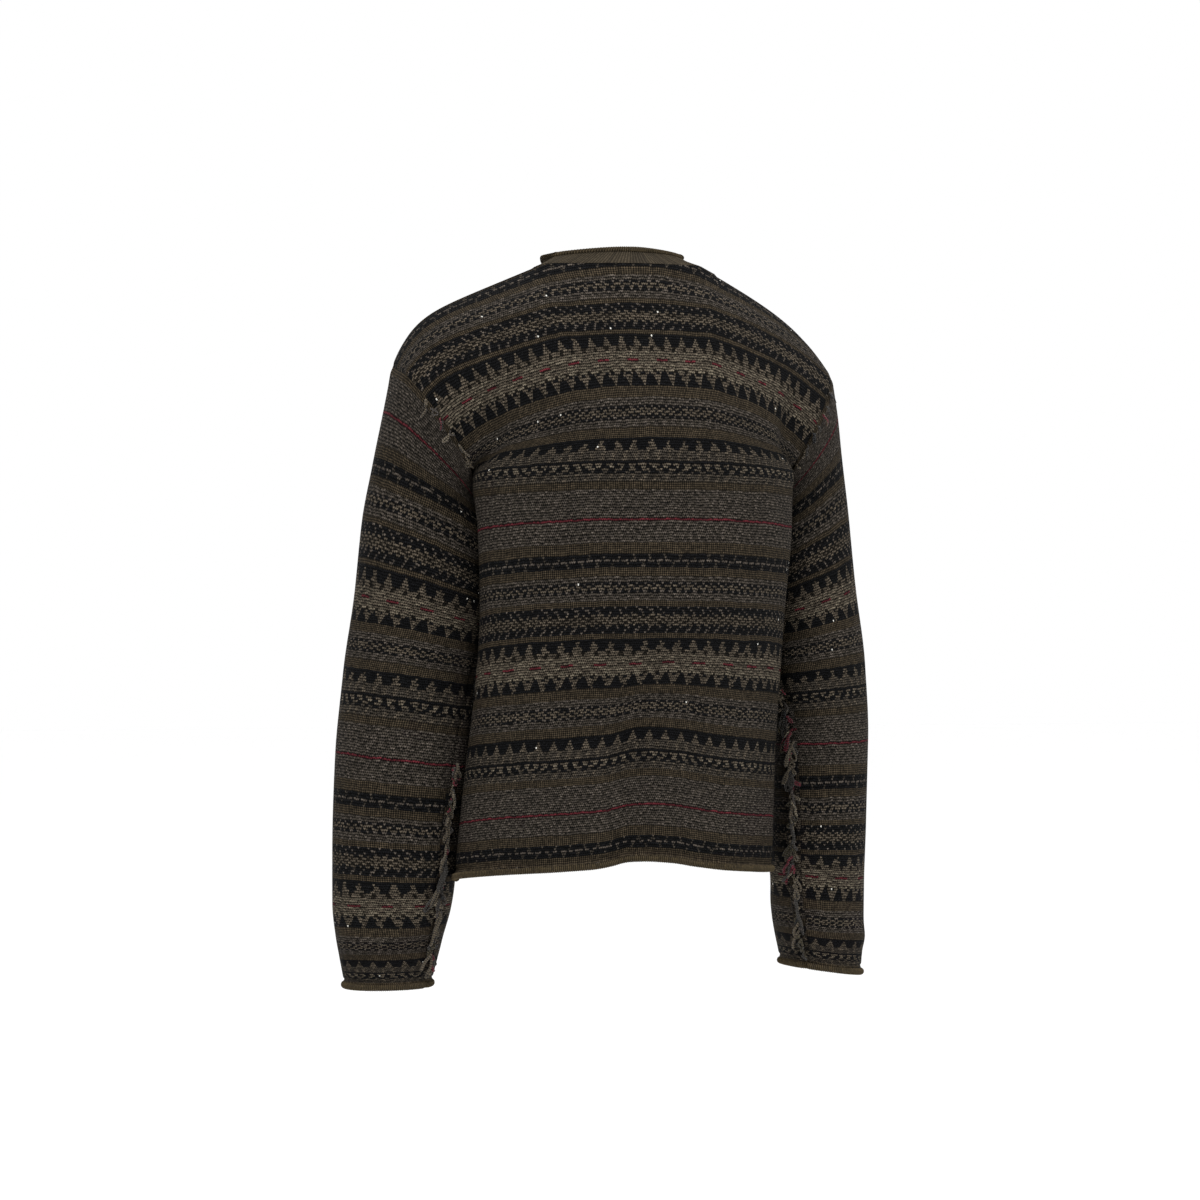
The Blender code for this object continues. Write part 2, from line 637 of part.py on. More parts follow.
for k in range(6):
    for i in range(count):
        j = (i + 1) % count
        m = (k + 1) % 6
        faces.append((k * count + i, k * count + j, m * count + j, m * count + i))
add("neck_rib", vertices, faces, TAN)
roll_path = high - away * (BAND_WALL / 2) + climb * (ROLL["neck"][1] + LIFT + 0.01)
ring_tube("neck_roll", roll_path, climb, away, ROLL["neck"][0], ROLL["neck"][1], 8, OLIVE)


# ---- seam allowances left outside, each a narrow strip with loose yarn ends
def strand_path(start, out, down, side_way, end):
    """A yarn end: it leaves the strip, bends over and hangs clear of the cloth."""
    _, length, rise, lean, curl = end
    t = np.linspace(0, 1, STRAND_STEPS + 1)[:, None]
    lift = rise * np.sin(np.minimum(t * 2.2, 1) * math.pi / 2)
    drop = length * t ** 1.5
    sway = lean * t ** 1.3 + curl * np.sin(t * math.pi) * t
    return start + out * lift + down * drop + side_way * sway


def closely(line):
    """Points set close along a strand, past its root."""
    return even(line, np.linspace(0.15, 1, 16))


def strip_places(ends, length):
    """Where along a strip, from 0 to 1, it has points: both sides of each strand, and between."""
    half = ROOT_HALF / length
    places = [0.0]
    for end in ends:
        places += [end[0] - half, end[0] + half]
    places.append(1.0)
    filled = [places[0]]
    for a, b in zip(places, places[1:]):
        parts = max(1, int(round((b - a) * length / STRIP_STEP)))
        filled += [a + (b - a) * k / parts for k in range(1, parts + 1)]
    return np.array(filled)


def strip_direction(out, path):
    along = unit(np.gradient(path, axis=0))
    return unit(out - along * np.sum(out * along, axis=1, keepdims=True)), along


def sorted_out(path, out, ends, top):
    """The strands that stay clear of each other, with their lines."""
    length = np.linalg.norm(np.diff(path, axis=0), axis=1).sum()
    kept = []
    for end in sorted(ends):
        start = even(path, [end[0]])[0]
        normal = unit(even(out, [end[0]])[0])
        start = start + normal * top
        fall = np.array([0, 0, -1.0])
        down = unit(fall - normal * (fall @ normal))
        line = strand_path(start, normal, down, np.cross(down, normal), end)
        fine = closely(line)
        apart = all(np.min(np.linalg.norm(fine[:, None] - closely(other)[None], axis=2)) > STRAND_CLEAR
                    for _, other in kept)
        spaced = not kept or (end[0] - kept[-1][0][0]) * length > 3 * ROOT_HALF
        if apart and spaced and ROOT_HALF / length < end[0] < 1 - ROOT_HALF / length:
            kept.append((end, line))
    return kept, length


def strand(vertices, faces, root, line):
    """A four-sided strand grown from four corners of its strip."""
    middle = np.mean([vertices[v] for v in root], axis=0)
    arms = [Vector(vertices[v] - middle).normalized() for v in root]
    before = Vector(line[1] - line[0]).normalized()
    last = root
    for step in range(1, len(line)):
        after = Vector(line[min(step + 1, len(line) - 1)] - line[step - 1]).normalized()
        turn = before.rotation_difference(after)
        arms = [turn @ arm for arm in arms]
        before = after
        size = STRAND_HALF if step < len(line) - 1 else STRAND_HALF * STRAND_TIP
        fresh = list(range(len(vertices), len(vertices) + 4))
        vertices.extend(line[step] + np.array(arm) * size for arm in arms)
        for i in range(4):
            j = (i + 1) % 4
            faces.append((last[i], last[j], fresh[j], fresh[i]))
        last = fresh
    faces.append(tuple(last))


def fringe(name, path, out, ends, kind, colour):
    """A strip along a seam; ends holds, for each strand, its place, length, rise, lean and curl."""
    out, _ = strip_direction(out, path)
    clear, height, half_width = STRIP[kind]
    strands, length = sorted_out(path, out, ends, clear + height)
    places = strip_places([end for end, _ in strands], length)
    seam = even(path, places)
    lift, along = strip_direction(even(out, places), seam)
    cross = np.cross(along, lift) * half_width
    foot = seam + lift * clear
    head = foot + lift * height
    vertices = [p for ring in zip(foot - cross, foot + cross, head + cross, head - cross) for p in ring]
    faces = [(3, 2, 1, 0)]
    lines = {int(np.argmin(np.abs(places - end[0] + ROOT_HALF / length))): line for end, line in strands}
    for k in range(len(places) - 1):
        a = 4 * k
        b = a + 4
        for i, j in ((0, 1), (1, 2), (3, 0)):
            faces.append((a + i, a + j, b + j, b + i))
        if k in lines:
            strand(vertices, faces, [a + 2, a + 3, b + 3, b + 2], lines[k])
        else:
            faces.append((a + 2, a + 3, b + 3, b + 2))
    end = 4 * (len(places) - 1)
    faces.append((end, end + 1, end + 2, end + 3))
    print(name, len(strands), "strands")
    return add(name, vertices, faces, colour)


def loose_ends(seed, count, where, lengths, rises, leans):
    """Yarn ends spread unevenly along a strip, leaning to both sides in turn."""
    dice = np.random.RandomState(seed)
    ends = []
    for k in range(count):
        place = where[0] + (where[1] - where[0]) * (k + dice.uniform(0.15, 0.85)) / count
        way = 1 if k % 2 else -1
        curl = dice.uniform(-0.3, 0.3)
        ends.append((place, dice.uniform(*lengths), dice.uniform(*rises), way * dice.uniform(*leans), curl))
    return ends


def armhole_path(side):
    """Along the armhole seam from low on the back, over the shoulder, to low on the front."""
    path = []
    out = []
    share = np.linspace(0, 1, 25)
    for panel, shares in (("back", share[::-1]), ("front", share[1:])):
        rows = shares * ARM_ROWS * ARMHOLE_STRIP_END[panel]
        path.append(armhole_line(side, panel, rows))
        on_body = body_normals(panel, np.full(len(rows), float(side)), rows[None, :])[0]
        around = 0.5 + (rows if panel == "front" else -rows) / ARM_ROWS / 2
        ring, ring_out = sleeve_at(side, around, np.array([0, 3, 6.0]))
        out.append(unit(unit(on_body) + ring_out[0]))
    return np.concatenate(path), unit(np.concatenate(out))


def sleeve_at(side, around, rows):
    """A sleeve's plain points at these places round it, and its outward directions."""
    small = 0.01
    grids = []
    for shift in (-small, small, 0):
        knots, keys = sleeve_keys(side, (around + shift) % 1)
        grids.append(np.stack([cubic(knots, keys[:, j], rows) for j in range(len(around))], axis=1))
    out = unit(np.cross(grids[1] - grids[0], np.gradient(grids[2], axis=0))) * side
    return grids[2], out


for side, word in ((1, "left"), (-1, "right")):
    path, out = armhole_path(side)
    ends = loose_ends(**ARMHOLE_ENDS[side])
    fringe(word + "_armhole_fringe", path, out, ends, "armhole", MAUVE)
    rows = np.linspace(*SLEEVE_STRIP_ROWS[side], 80)
    seam, seam_out = sleeve(side, SLEEVE_COLUMNS, rows)
    ends = loose_ends(**SLEEVE_ENDS[side])
    fringe(word + "_sleeve_fringe", seam[:, 0], seam_out[:, 0], ends, "sleeve", MAUVE)
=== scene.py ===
import math

import bmesh
import bpy
import numpy as np
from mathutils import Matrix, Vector


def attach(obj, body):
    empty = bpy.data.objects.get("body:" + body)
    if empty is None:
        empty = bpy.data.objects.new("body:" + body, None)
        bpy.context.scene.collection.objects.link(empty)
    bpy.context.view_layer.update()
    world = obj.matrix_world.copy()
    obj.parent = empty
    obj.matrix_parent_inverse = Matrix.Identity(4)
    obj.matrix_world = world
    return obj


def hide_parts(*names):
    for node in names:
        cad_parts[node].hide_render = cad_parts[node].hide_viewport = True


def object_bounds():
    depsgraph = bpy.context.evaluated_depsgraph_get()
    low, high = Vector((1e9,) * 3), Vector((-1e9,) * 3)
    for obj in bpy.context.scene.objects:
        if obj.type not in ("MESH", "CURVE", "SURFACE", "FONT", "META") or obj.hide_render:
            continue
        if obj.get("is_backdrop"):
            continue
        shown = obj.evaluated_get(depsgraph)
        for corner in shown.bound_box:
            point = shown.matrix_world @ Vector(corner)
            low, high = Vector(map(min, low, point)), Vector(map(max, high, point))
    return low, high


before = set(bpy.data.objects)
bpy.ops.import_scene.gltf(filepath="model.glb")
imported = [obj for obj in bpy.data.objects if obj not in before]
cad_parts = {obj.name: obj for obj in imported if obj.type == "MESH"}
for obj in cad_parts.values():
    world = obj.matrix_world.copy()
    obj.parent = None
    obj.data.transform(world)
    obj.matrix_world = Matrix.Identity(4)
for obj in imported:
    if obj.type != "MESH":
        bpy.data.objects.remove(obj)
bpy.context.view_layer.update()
print("frame loaded")

# Z is up, the front faces -Y and the sweater's left is +X. The tables are in centimetres and knitted rows,
# counted down from the top edge of each panel, and say the same as the solids that the cloth replaces.
cm = 0.01
wall = 0.3           # thickness of the knitted cloth
rowHeight = 0.21     # height of one counted row
bandClear = 0.05     # the neckband starts this far from the edge it is sewn to
bandHollow = 0.05    # the band sinks in this much half way up
bandWall = 0.24      # thickness of the neckband

bodyLength = 306     # knitted rows from the shoulder to the hem roll
armRows = 104        # rows from the shoulder to the underarm
sleeveLength = 300   # rows of a sleeve down to its roll
neckShare = 0.33     # part of a half panel's top edge that borders the neck
neckX = 0.0          # the middle of the neck
neckHalf = 9.9       # half the neck's width between the side-neck points
neckBack = 9.4       # how far back the nape lies
neckZ = 0.0          # height of the neck edge at the back
ridgeY = 4.8         # the shoulder seam at the neck
neckDrop = 44        # rows cut away at the middle of the front neck

# Armhole: a tilted circle for each side
armholes = {
    1: dict(x=19.5, reach=4.5, y=-0.4, depth=6.9, z=-17.0, rise=6.2),
    -1: dict(x=-20.5, reach=3.0, y=-0.4, depth=6.9, z=-17.0, rise=6.2),
}

# How the shoulder falls towards its tip: an even slope from a start, and a bend near the tip
shoulders = {
    1: dict(slope=0.60, start=0.36, bend=14),
    -1: dict(slope=0.69, start=0.33, bend=7),
}
leftTurn = 4         # the left side rounds out this much further (degrees)

# Side seams below the armholes
# row, leftX, rightX, y, leftZ, rightZ
sideSeams = (
    (104, 15.0, -17.5, -0.4, -23.2, -23.2),
    (128, 14.3, -17.2, -0.6, -28.4, -28.2),
    (170, 14.0, -16.7, -1.2, -37.8, -37.4),
    (201, 14.4, -16.7, -1.9, -44.1, -43.5),
    (252, 15.6, -16.8, -2.7, -54.2, -53.6),
    (306, 16.6, -17.0, -3.6, -64.6, -64.0),
)

# Across the body: where the middle of each row lies, how far its curve runs on from the middle and
# into the edge (shares), the turn of its edge in plan (degrees) and how much it follows the shoulder
# row, midX, midY, midZ, reach, arrive, turn, slope
backRows = (
    (0, 0.3, 9.4, 0.0, 0.5, 0.5, 10, 1.0),
    (20, 0.2, 11.8, -4.6, 0.44, 0.45, 12, 0.80),
    (51, -0.3, 14.5, -10.7, 0.55, 0.45, 22, 0.45),
    (75, -0.8, 16.2, -16.0, 0.58, 0.50, 60, 0.20),
    (104, -1.2, 16.9, -22.0, 0.60, 0.60, 110, 0.0),
    (128, -1.3, 16.6, -26.9, 0.62, 0.62, 112, 0.0),
    (170, -1.1, 15.2, -36.0, 0.62, 0.62, 112, 0.0),
    (201, -0.8, 13.8, -42.0, 0.62, 0.62, 110, 0.0),
    (252, -0.2, 11.2, -51.8, 0.62, 0.62, 107, 0.0),
    (306, 0.2, 9.8, -62.4, 0.62, 0.62, 104, 0.0),
)
frontRows = (
    (0, 0.3, 4.8, 0.0, 0.5, 0.5, 10, 1.0),
    (20, 0.2, -0.4, -2.3, 0.45, 0.45, 12, 0.80),
    (51, -0.3, -5.6, -6.8, 0.55, 0.45, 22, 0.50),
    (75, -0.8, -7.8, -12.6, 0.58, 0.50, 45, 0.25),
    (104, -1.2, -8.8, -19.3, 0.60, 0.60, 72, 0.0),
    (128, -1.3, -9.2, -24.6, 0.62, 0.62, 68, 0.0),
    (170, -1.1, -10.8, -34.0, 0.62, 0.62, 68, 0.0),
    (201, -0.8, -12.3, -40.4, 0.62, 0.62, 70, 0.0),
    (252, -0.2, -14.4, -50.8, 0.62, 0.62, 73, 0.0),
    (306, 0.2, -15.2, -61.8, 0.62, 0.62, 76, 0.0),
)

# Sleeves: rings below the armhole, tilted between the inner and the outer height
# row, outerZ, innerZ, x, y, halfWidth, halfDepth, seamTurn
leftRings = (
    (17, -15.3, -25.0, 19.9, -2.1, 4.6, 6.0, 0),
    (36, -20.8, -27.8, 19.6, -3.7, 5.8, 5.9, 4),
    (59, -27.0, -32.4, 20.05, -4.2, 6.45, 6.0, 12),
    (90, -34.9, -38.3, 20.5, -4.4, 6.8, 6.1, 22),
    (129, -42.9, -44.9, 21.4, -4.9, 7.0, 6.0, 34),
    (167, -51.3, -53.1, 22.25, -5.2, 6.95, 5.9, 46),
    (209, -61.2, -62.0, 23.0, -5.4, 6.5, 5.8, 50),
    (240, -67.7, -67.8, 23.35, -5.4, 6.15, 5.6, 48),
    (264, -71.9, -71.6, 23.5, -5.3, 5.5, 5.4, 46),
    (300, -75.9, -75.7, 23.6, -5.2, 4.7, 4.9, 42),
)
rightRings = (
    (17, -15.1, -24.8, -21.3, -1.8, 3.3, 6.3, 0),
    (36, -20.0, -27.2, -21.6, -3.3, 4.0, 6.2, 6),
    (59, -26.4, -31.8, -22.0, -4.4, 4.7, 6.2, 14),
    (90, -34.0, -37.4, -22.5, -4.8, 5.1, 6.2, 26),
    (129, -42.4, -43.9, -23.3, -5.2, 5.5, 6.1, 36),
    (167, -50.4, -50.8, -24.0, -5.4, 5.2, 6.0, 44),
    (209, -59.6, -59.6, -24.0, -5.5, 5.0, 5.8, 48),
    (240, -65.6, -65.0, -23.85, -5.5, 4.95, 5.6, 50),
    (264, -70.4, -69.6, -23.9, -5.4, 4.8, 5.4, 52),
    (300, -75.4, -74.2, -24.0, -5.3, 4.4, 4.9, 54),
)

# Largest folds, each a soft valley (negative) or ridge along a line from a to b across the cloth
foldFade = 0.30       # share of a fold's length over which each end dies away
bodyFoldRows = 240    # rows that count as one share across, for measuring a fold's width
sleeveFoldRows = 190
# acrossA, rowA, acrossB, rowB, halfWidth, height
bodyFolds = {
    "back": (
        (0.79, 34, 0.83, 97, 0.062, -0.50),
        (-0.83, 34, -0.82, 97, 0.062, -0.48),
        (0.66, 60, 0.72, 118, 0.075, 0.30),
        (-0.68, 60, -0.68, 118, 0.075, 0.28),
        (0.05, 200, 0.04, 345, 0.070, -0.80),
        (-0.15, 222, -0.15, 345, 0.100, 0.30),
        (0.30, 214, 0.38, 345, 0.130, 0.38),
        (-0.46, 232, -0.43, 345, 0.120, 0.30),
    ),
    "front": (
        (0.82, 40, 0.86, 106, 0.065, -0.42),
        (-0.83, 40, -0.85, 106, 0.065, -0.40),
        (0.30, 190, 0.40, 330, 0.120, 0.40),
        (-0.10, 236, -0.06, 330, 0.100, -0.45),
        (-0.44, 205, -0.42, 330, 0.130, 0.35),
    ),
}
hemSwayRows = (180, 245)    # between these rows the back's last bands take on the sway
# across, rise
hemSways = (
    (-1.0, 0.0),
    (-0.84, -0.22),
    (-0.62, -0.44),
    (-0.42, -0.34),
    (-0.28, -0.05),
    (-0.17, 0.36),
    (-0.07, 0.50),
    (0.01, 0.34),
    (0.09, -0.05),
    (0.20, -0.28),
    (0.42, -0.32),
    (0.70, -0.22),
    (1.0, 0.0),
)
sleeveFolds = {
    1: (
        (-0.05, 210, 0.25, 232, 0.050, 0.28),
        (-0.04, 228, 0.31, 250, 0.040, -0.42),
        (-0.02, 248, 0.41, 266, 0.045, 0.38),
        (-0.05, 264, 0.35, 280, 0.038, -0.38),
        (0.55, 222, 0.90, 238, 0.050, 0.30),
        (0.52, 246, 0.92, 262, 0.045, -0.36),
        (0.40, 140, 0.70, 158, 0.080, -0.35),
        (0.10, 96, 0.42, 112, 0.075, -0.30),
    ),
    -1: (
        (-0.02, 222, 0.26, 242, 0.050, 0.28),
        (-0.04, 242, 0.30, 258, 0.042, -0.38),
        (0.00, 262, 0.36, 278, 0.045, 0.32),
        (0.55, 230, 0.90, 248, 0.050, -0.32),
        (0.42, 150, 0.74, 166, 0.080, -0.30),
    ),
}

# Neckband: the ring its upper edge follows
bandRing = dict(x=0.7, y=1.9, halfWidth=7.4, back=6.5, front=5.9, backZ=1.05, sideZ=0.60, frontZ=-3.9)
# half thickness and half height of each roll
rollSize = {"neck": (0.27, 0.30), "hem": (0.32, 0.34), "cuff": (0.32, 0.34)}


# smooth curve through a table that doesn't swing past its values
def cubic(knots, values, at):
    knots = np.asarray(knots, float)
    values = np.asarray(values, float)
    at = np.asarray(at, float)
    step = np.diff(knots)[:, None]
    rise = np.diff(values, axis=0) / step
    slope = np.zeros_like(values)
    w1 = 2 * step[1:] + step[:-1]
    w2 = step[1:] + 2 * step[:-1]
    safe = np.where(rise == 0, 1.0, rise)
    mean = (w1 + w2) / (w1 / safe[:-1] + w2 / safe[1:])
    slope[1:-1] = np.where(rise[1:] * rise[:-1] > 0, mean, 0)
    slope[0] = rise[0]
    slope[-1] = rise[-1]
    i = np.clip(np.searchsorted(knots, at, side="right") - 1, 0, len(knots) - 2)
    h = step[i]
    t = (at - knots[i])[:, None] / h
    return (
        values[i] * (1 + 2 * t) * (1 - t) ** 2
        + slope[i] * h * t * (1 - t) ** 2
        + values[i + 1] * t * t * (3 - 2 * t)
        + slope[i + 1] * h * t * t * (t - 1)
    )


# share of the drop from neck to shoulder tip that a point this far out has
def shoulderFall(side, share):
    fall = shoulders[side]
    evenPart = np.clip((share - fall["start"]) / (1 - fall["start"]), 0, None)
    return fall["slope"] * evenPart + (1 - fall["slope"]) * share ** fall["bend"]


def armholePoint(side, panel, row):
    a = armholes[side]
    angle = math.pi * row / armRows
    sign = 1 if panel == "back" else -1
    return np.array([
        a["x"] + side * a["reach"] * math.cos(angle),
        a["y"] + sign * a["depth"] * math.sin(angle),
        a["z"] + a["rise"] * math.cos(angle),
    ])


def edgePoint(side, panel, row):
    if row <= armRows:
        return armholePoint(side, panel, row)
    table = np.array(sideSeams)
    found = cubic(table[:, 0], table[:, 1:], [row])[0]
    return np.array([found[0] if side > 0 else found[1], found[2], found[3] if side > 0 else found[4]])


# points at these shares of a line's length
def even(line, shares):
    length = np.concatenate([[0], np.cumsum(np.linalg.norm(np.diff(line, axis=0), axis=1))])
    return np.stack([np.interp(np.asarray(shares) * length[-1], length, line[:, k]) for k in range(3)], 1)


def topRow(side, panel, shares):
    tip = armholePoint(side, panel, 0)
    s = np.linspace(0, 1, 161)
    x = neckX + s * (tip[0] - neckX)
    z = neckZ + (tip[2] - neckZ) * shoulderFall(side, s)
    inside = neckHalf / abs(tip[0] - neckX)
    out = np.clip((s - inside) / (1 - inside), 0, 1)
    y = ridgeY + (tip[1] - ridgeY) * out
    swell = np.cos(np.clip(s / inside, 0, 1) * math.pi / 2)
    if panel == "back":
        y = y + (neckBack - ridgeY) * swell
    line = np.stack([x, y, z], 1)
    neck = line[s <= inside]
    shoulder = line[s >= inside]
    shares = np.asarray(shares)
    a = even(neck, np.clip(shares / neckShare, 0, 1))
    b = even(shoulder, np.clip((shares - neckShare) / (1 - neckShare), 0, 1))
    return np.where((shares < neckShare)[:, None], a, b)


def tableRow(side, panel, entry, shares):
    row, midX, midY, midZ, reach, arrive, turn, slope = entry
    if row == 0:
        return topRow(side, panel, shares)
    mid = np.array([midX, midY, midZ])
    edge = edgePoint(side, panel, row)
    past = leftTurn if side > 0 and row >= armRows else 0
    angle = math.radians(turn + past if panel == "back" else turn - past)
    sign = -1 if panel == "back" else 1
    inward = np.array([side * math.cos(angle), sign * math.sin(angle)])
    a = mid[:2]
    b = a + np.array([side * reach * abs(edge[0] - mid[0]), 0])
    d = edge[:2]
    c = d - inward * arrive * max(abs(edge[1] - mid[1]), 6)
    t = np.linspace(0, 1, 81)[:, None]
    plan = a * (1 - t) ** 3 + 3 * b * t * (1 - t) ** 2 + 3 * c * t * t * (1 - t) + d * t ** 3
    out = np.concatenate([[0], np.cumsum(np.linalg.norm(np.diff(plan, axis=0), axis=1))])
    out = out / out[-1]
    fall = slope * shoulderFall(side, out) + (1 - slope) * out ** 2
    line = np.column_stack([plan, mid[2] + (edge[2] - mid[2]) * fall])
    return even(line, shares)


# height of the folds over a grid of places on the cloth
def foldHeight(folds, across, row, rowScale):
    height = np.zeros_like(across)
    for ax, ar, bx, br, width, tall in folds:
        dx = bx - ax
        dr = (br - ar) / rowScale
        long2 = dx * dx + dr * dr
        down = (row - ar) / rowScale
        t = ((across - ax) * dx + down * dr) / long2
        away = np.abs((across - ax) * dr - down * dx) / math.sqrt(long2)
        ends = np.clip(t / foldFade, 0, 1) * np.clip((1 - t) / foldFade, 0, 1)
        ends = ends * ends * (3 - 2 * ends)
        height += tall * np.exp(-(away / width) ** 2) * ends
    return height


def unit(vectors):
    return vectors / np.linalg.norm(vectors, axis=-1, keepdims=True)


# rows cut away at the neck
def neckRows(panel, across):
    inside = np.clip(np.abs(across) / neckShare, 0, 1)
    depth = neckDrop if panel == "front" else 1.5
    return depth * np.clip(1 - inside ** 2.4, 0, 1) ** 0.62


# bare points of a panel at these shares across (a column each) and rows down
def bodyPoints(panel, across, rows):
    table = backRows if panel == "back" else frontRows
    knots = [entry[0] for entry in table]
    keys = np.zeros((len(table), len(across), 3))
    for side in (-1, 1):
        here = across >= 0 if side > 0 else across < 0
        for k, entry in enumerate(table):
            keys[k, here] = tableRow(side, panel, entry, np.abs(across[here]))
    return np.stack([cubic(knots, keys[:, j], rows[:, j]) for j in range(len(across))], axis=1)


def bodyNormals(panel, across, rows):
    small = 0.008
    wider = bodyPoints(panel, np.clip(across + small, -1, 1), rows)
    wider = wider - bodyPoints(panel, np.clip(across - small, -1, 1), rows)
    down = bodyPoints(panel, across, np.clip(rows + 2, 0, bodyLength))
    down = down - bodyPoints(panel, across, np.clip(rows - 2, 0, bodyLength))
    return unit(np.cross(wider, down)) * (1 if panel == "back" else -1)


# how far the back's last bands rise and fall across its width
def hemSway(panel, across, rows):
    if panel == "front":
        return np.zeros_like(across)
    first, last = hemSwayRows
    share = np.clip((rows - first) / (last - first), 0, 1)
    table = np.array(hemSways)
    rise = cubic(table[:, 0], table[:, 1:], across.ravel()).reshape(across.shape)
    return rise * share * share * (3 - 2 * share)


# directions square to a folded grid; its borders keep the plain cloth's directions
def surfaceNormals(points, guide):
    n = unit(np.cross(np.gradient(points, axis=1), np.gradient(points, axis=0)))
    n *= np.sign(np.sum(n * guide, axis=2, keepdims=True))
    n[0] = guide[0]
    n[:, 0] = guide[:, 0]
    n[:, -1] = guide[:, -1]
    near = np.sum(n * guide, axis=2, keepdims=True) > 0.7
    return np.where(near, n, guide)


# the edge of a panel along its armhole, on the same curve as the panel's own points
def armholeLine(side, panel, rows):
    table = backRows if panel == "back" else frontRows
    knots = [entry[0] for entry in table]
    keys = np.array([edgePoint(side, panel, row) for row in knots])
    return cubic(knots, keys, rows)


# how far the soft sleeves lean in until they touch the body's sides
# row, left, right
leans = (
    (0, 0.0, 0.0),
    (17, 0.45, 0.15),
    (36, 0.80, 0.30),
    (59, 0.35, 0.25),
    (90, 0.15, 0.15),
    (129, 0.10, 0.20),
    (167, 0.25, 0.45),
    (209, 0.45, 0.60),
    (240, 0.45, 0.55),
    (264, 0.20, 0.35),
    (300, 0.0, 0.0),
)


def sleeveKeys(side, around):
    rings = leftRings if side > 0 else rightRings
    rows = armRows * np.abs(1 - 2 * around)
    rear = armholeLine(side, "back", rows)
    fore = armholeLine(side, "front", rows)
    keys = [np.where((around <= 0.5)[:, None], rear, fore)]
    table = np.array(leans)
    for row, outer, inner, x, y, wide, deep, turn in rings:
        lean = np.interp(row, table[:, 0], table[:, 1 if side > 0 else 2]) / 2
        x = x - side * lean
        wide = wide + lean
        angle = math.pi - 2 * math.pi * around - math.radians(turn)
        px = x + side * wide * np.cos(angle)
        py = y + deep * np.sin(angle)
        pz = inner + (outer - inner) * (1 + np.cos(angle)) / 2
        keys.append(np.stack([px, py, pz], 1))
    return [0] + [entry[0] for entry in rings], np.stack(keys)


# outer points of a sleeve, a ring for each row, and its outward directions
def sleeve(side, columns, rows):
    around = np.arange(columns) / columns
    knots, keys = sleeveKeys(side, around)
    points = np.stack([cubic(knots, keys[:, j], rows) for j in range(columns)], axis=1)
    out = tubeNormals(points, side)
    wide = np.broadcast_to(around[None, :], points.shape[:2])
    down = np.broadcast_to(np.asarray(rows)[:, None], points.shape[:2])
    height = np.zeros(wide.shape)
    for shift in (-1, 0, 1):
        height += foldHeight(sleeveFolds[side], wide + shift, down, sleeveFoldRows)
    points = points + out * height[..., None]
    return points, tubeNormals(points, side)


def tubeNormals(points, side):
    across = np.roll(points, -1, axis=1) - np.roll(points, 1, axis=1)
    return unit(np.cross(across, np.gradient(points, axis=0))) * side


clothLook = dict(
    stitch=0.215,           # width of one stitch
    halfStitches={"back": 121, "front": 103},
    columns={"back": 180, "front": 160},
    rows=190,
    seamSink=0.17,          # how deep the cloth dips at a seam, and over what distance it does
    seamReach=0.34,
    groove=0.11,            # depth of the groove above a roll, its place and its half width
    grooveAt=0.42,
    grooveHalf=0.24,
    seamGap=0.012,
    runOn=0.14,             # the last row goes on this far into its roll
    sleeveColumns=116,
    sleeveRows=190,
    edgeCalm=0.06,          # folds die away over this share beside an edge
    bodyStart=130,          # counted row of the bands' repeat at the shoulder and at a sleeve's top
    sleeveStart=91,
    archRows=40,            # below the neck the lines run in an arch for this many rows
    archMiddle=1.1,         # rows the arch takes off in the middle, and more towards the sides
    archSides=5.2,
    archReach=0.27,
    girthRows=(0, 40, 200, 300),
    girths=(41, 40, 37, 31),
)


def makeMesh(name, vertices, faces, marks=None):
    mesh = bpy.data.meshes.new(name)
    mesh.from_pydata((np.asarray(vertices) * cm).tolist(), [], faces)
    if marks is not None:
        layer = mesh.attributes.new("knit", "FLOAT_VECTOR", "POINT")
        layer.data.foreach_set("vector", np.asarray(marks, np.float32).ravel())
    made = bpy.data.objects.new(name, mesh)
    bpy.context.scene.collection.objects.link(made)
    shape = bmesh.new()
    shape.from_mesh(mesh)
    bmesh.ops.recalc_face_normals(shape, faces=shape.faces)
    shape.to_mesh(mesh)
    shape.free()
    bpy.ops.object.select_all(action="DESELECT")
    bpy.context.view_layer.objects.active = made
    made.select_set(True)
    bpy.ops.object.shade_smooth_by_angle(angle=math.radians(50))
    return made


def clothShell(name, points, out, marks, thick=wall):
    rows, columns = points.shape[:2]
    inside = points - out * thick
    vertices = np.concatenate([points.reshape(-1, 3), inside.reshape(-1, 3)])
    marks = np.concatenate([marks.reshape(-1, 3), marks.reshape(-1, 3)])
    shift = rows * columns
    faces = []
    for r in range(rows - 1):
        for c in range(columns - 1):
            quad = (r * columns + c, r * columns + c + 1, (r + 1) * columns + c + 1, (r + 1) * columns + c)
            faces.append(quad)
            faces.append(tuple(shift + v for v in reversed(quad)))
    border = [(c, c + 1) for c in range(columns - 1)]
    border += [((rows - 1) * columns + c + 1, (rows - 1) * columns + c) for c in range(columns - 1)]
    border += [((r + 1) * columns, r * columns) for r in range(rows - 1)]
    border += [(r * columns + columns - 1, (r + 1) * columns + columns - 1) for r in range(rows - 1)]
    for a, b in border:
        faces.append((b, a, shift + a, shift + b))
    return makeMesh(name, vertices, faces, marks)


def seamDip(away):
    return clothLook["seamSink"] * np.exp(-(away / clothLook["seamReach"]) ** 2)


# the slight groove above a rolled edge
def rollGroove(away):
    return clothLook["groove"] * np.exp(-((away - clothLook["grooveAt"]) / clothLook["grooveHalf"]) ** 2)


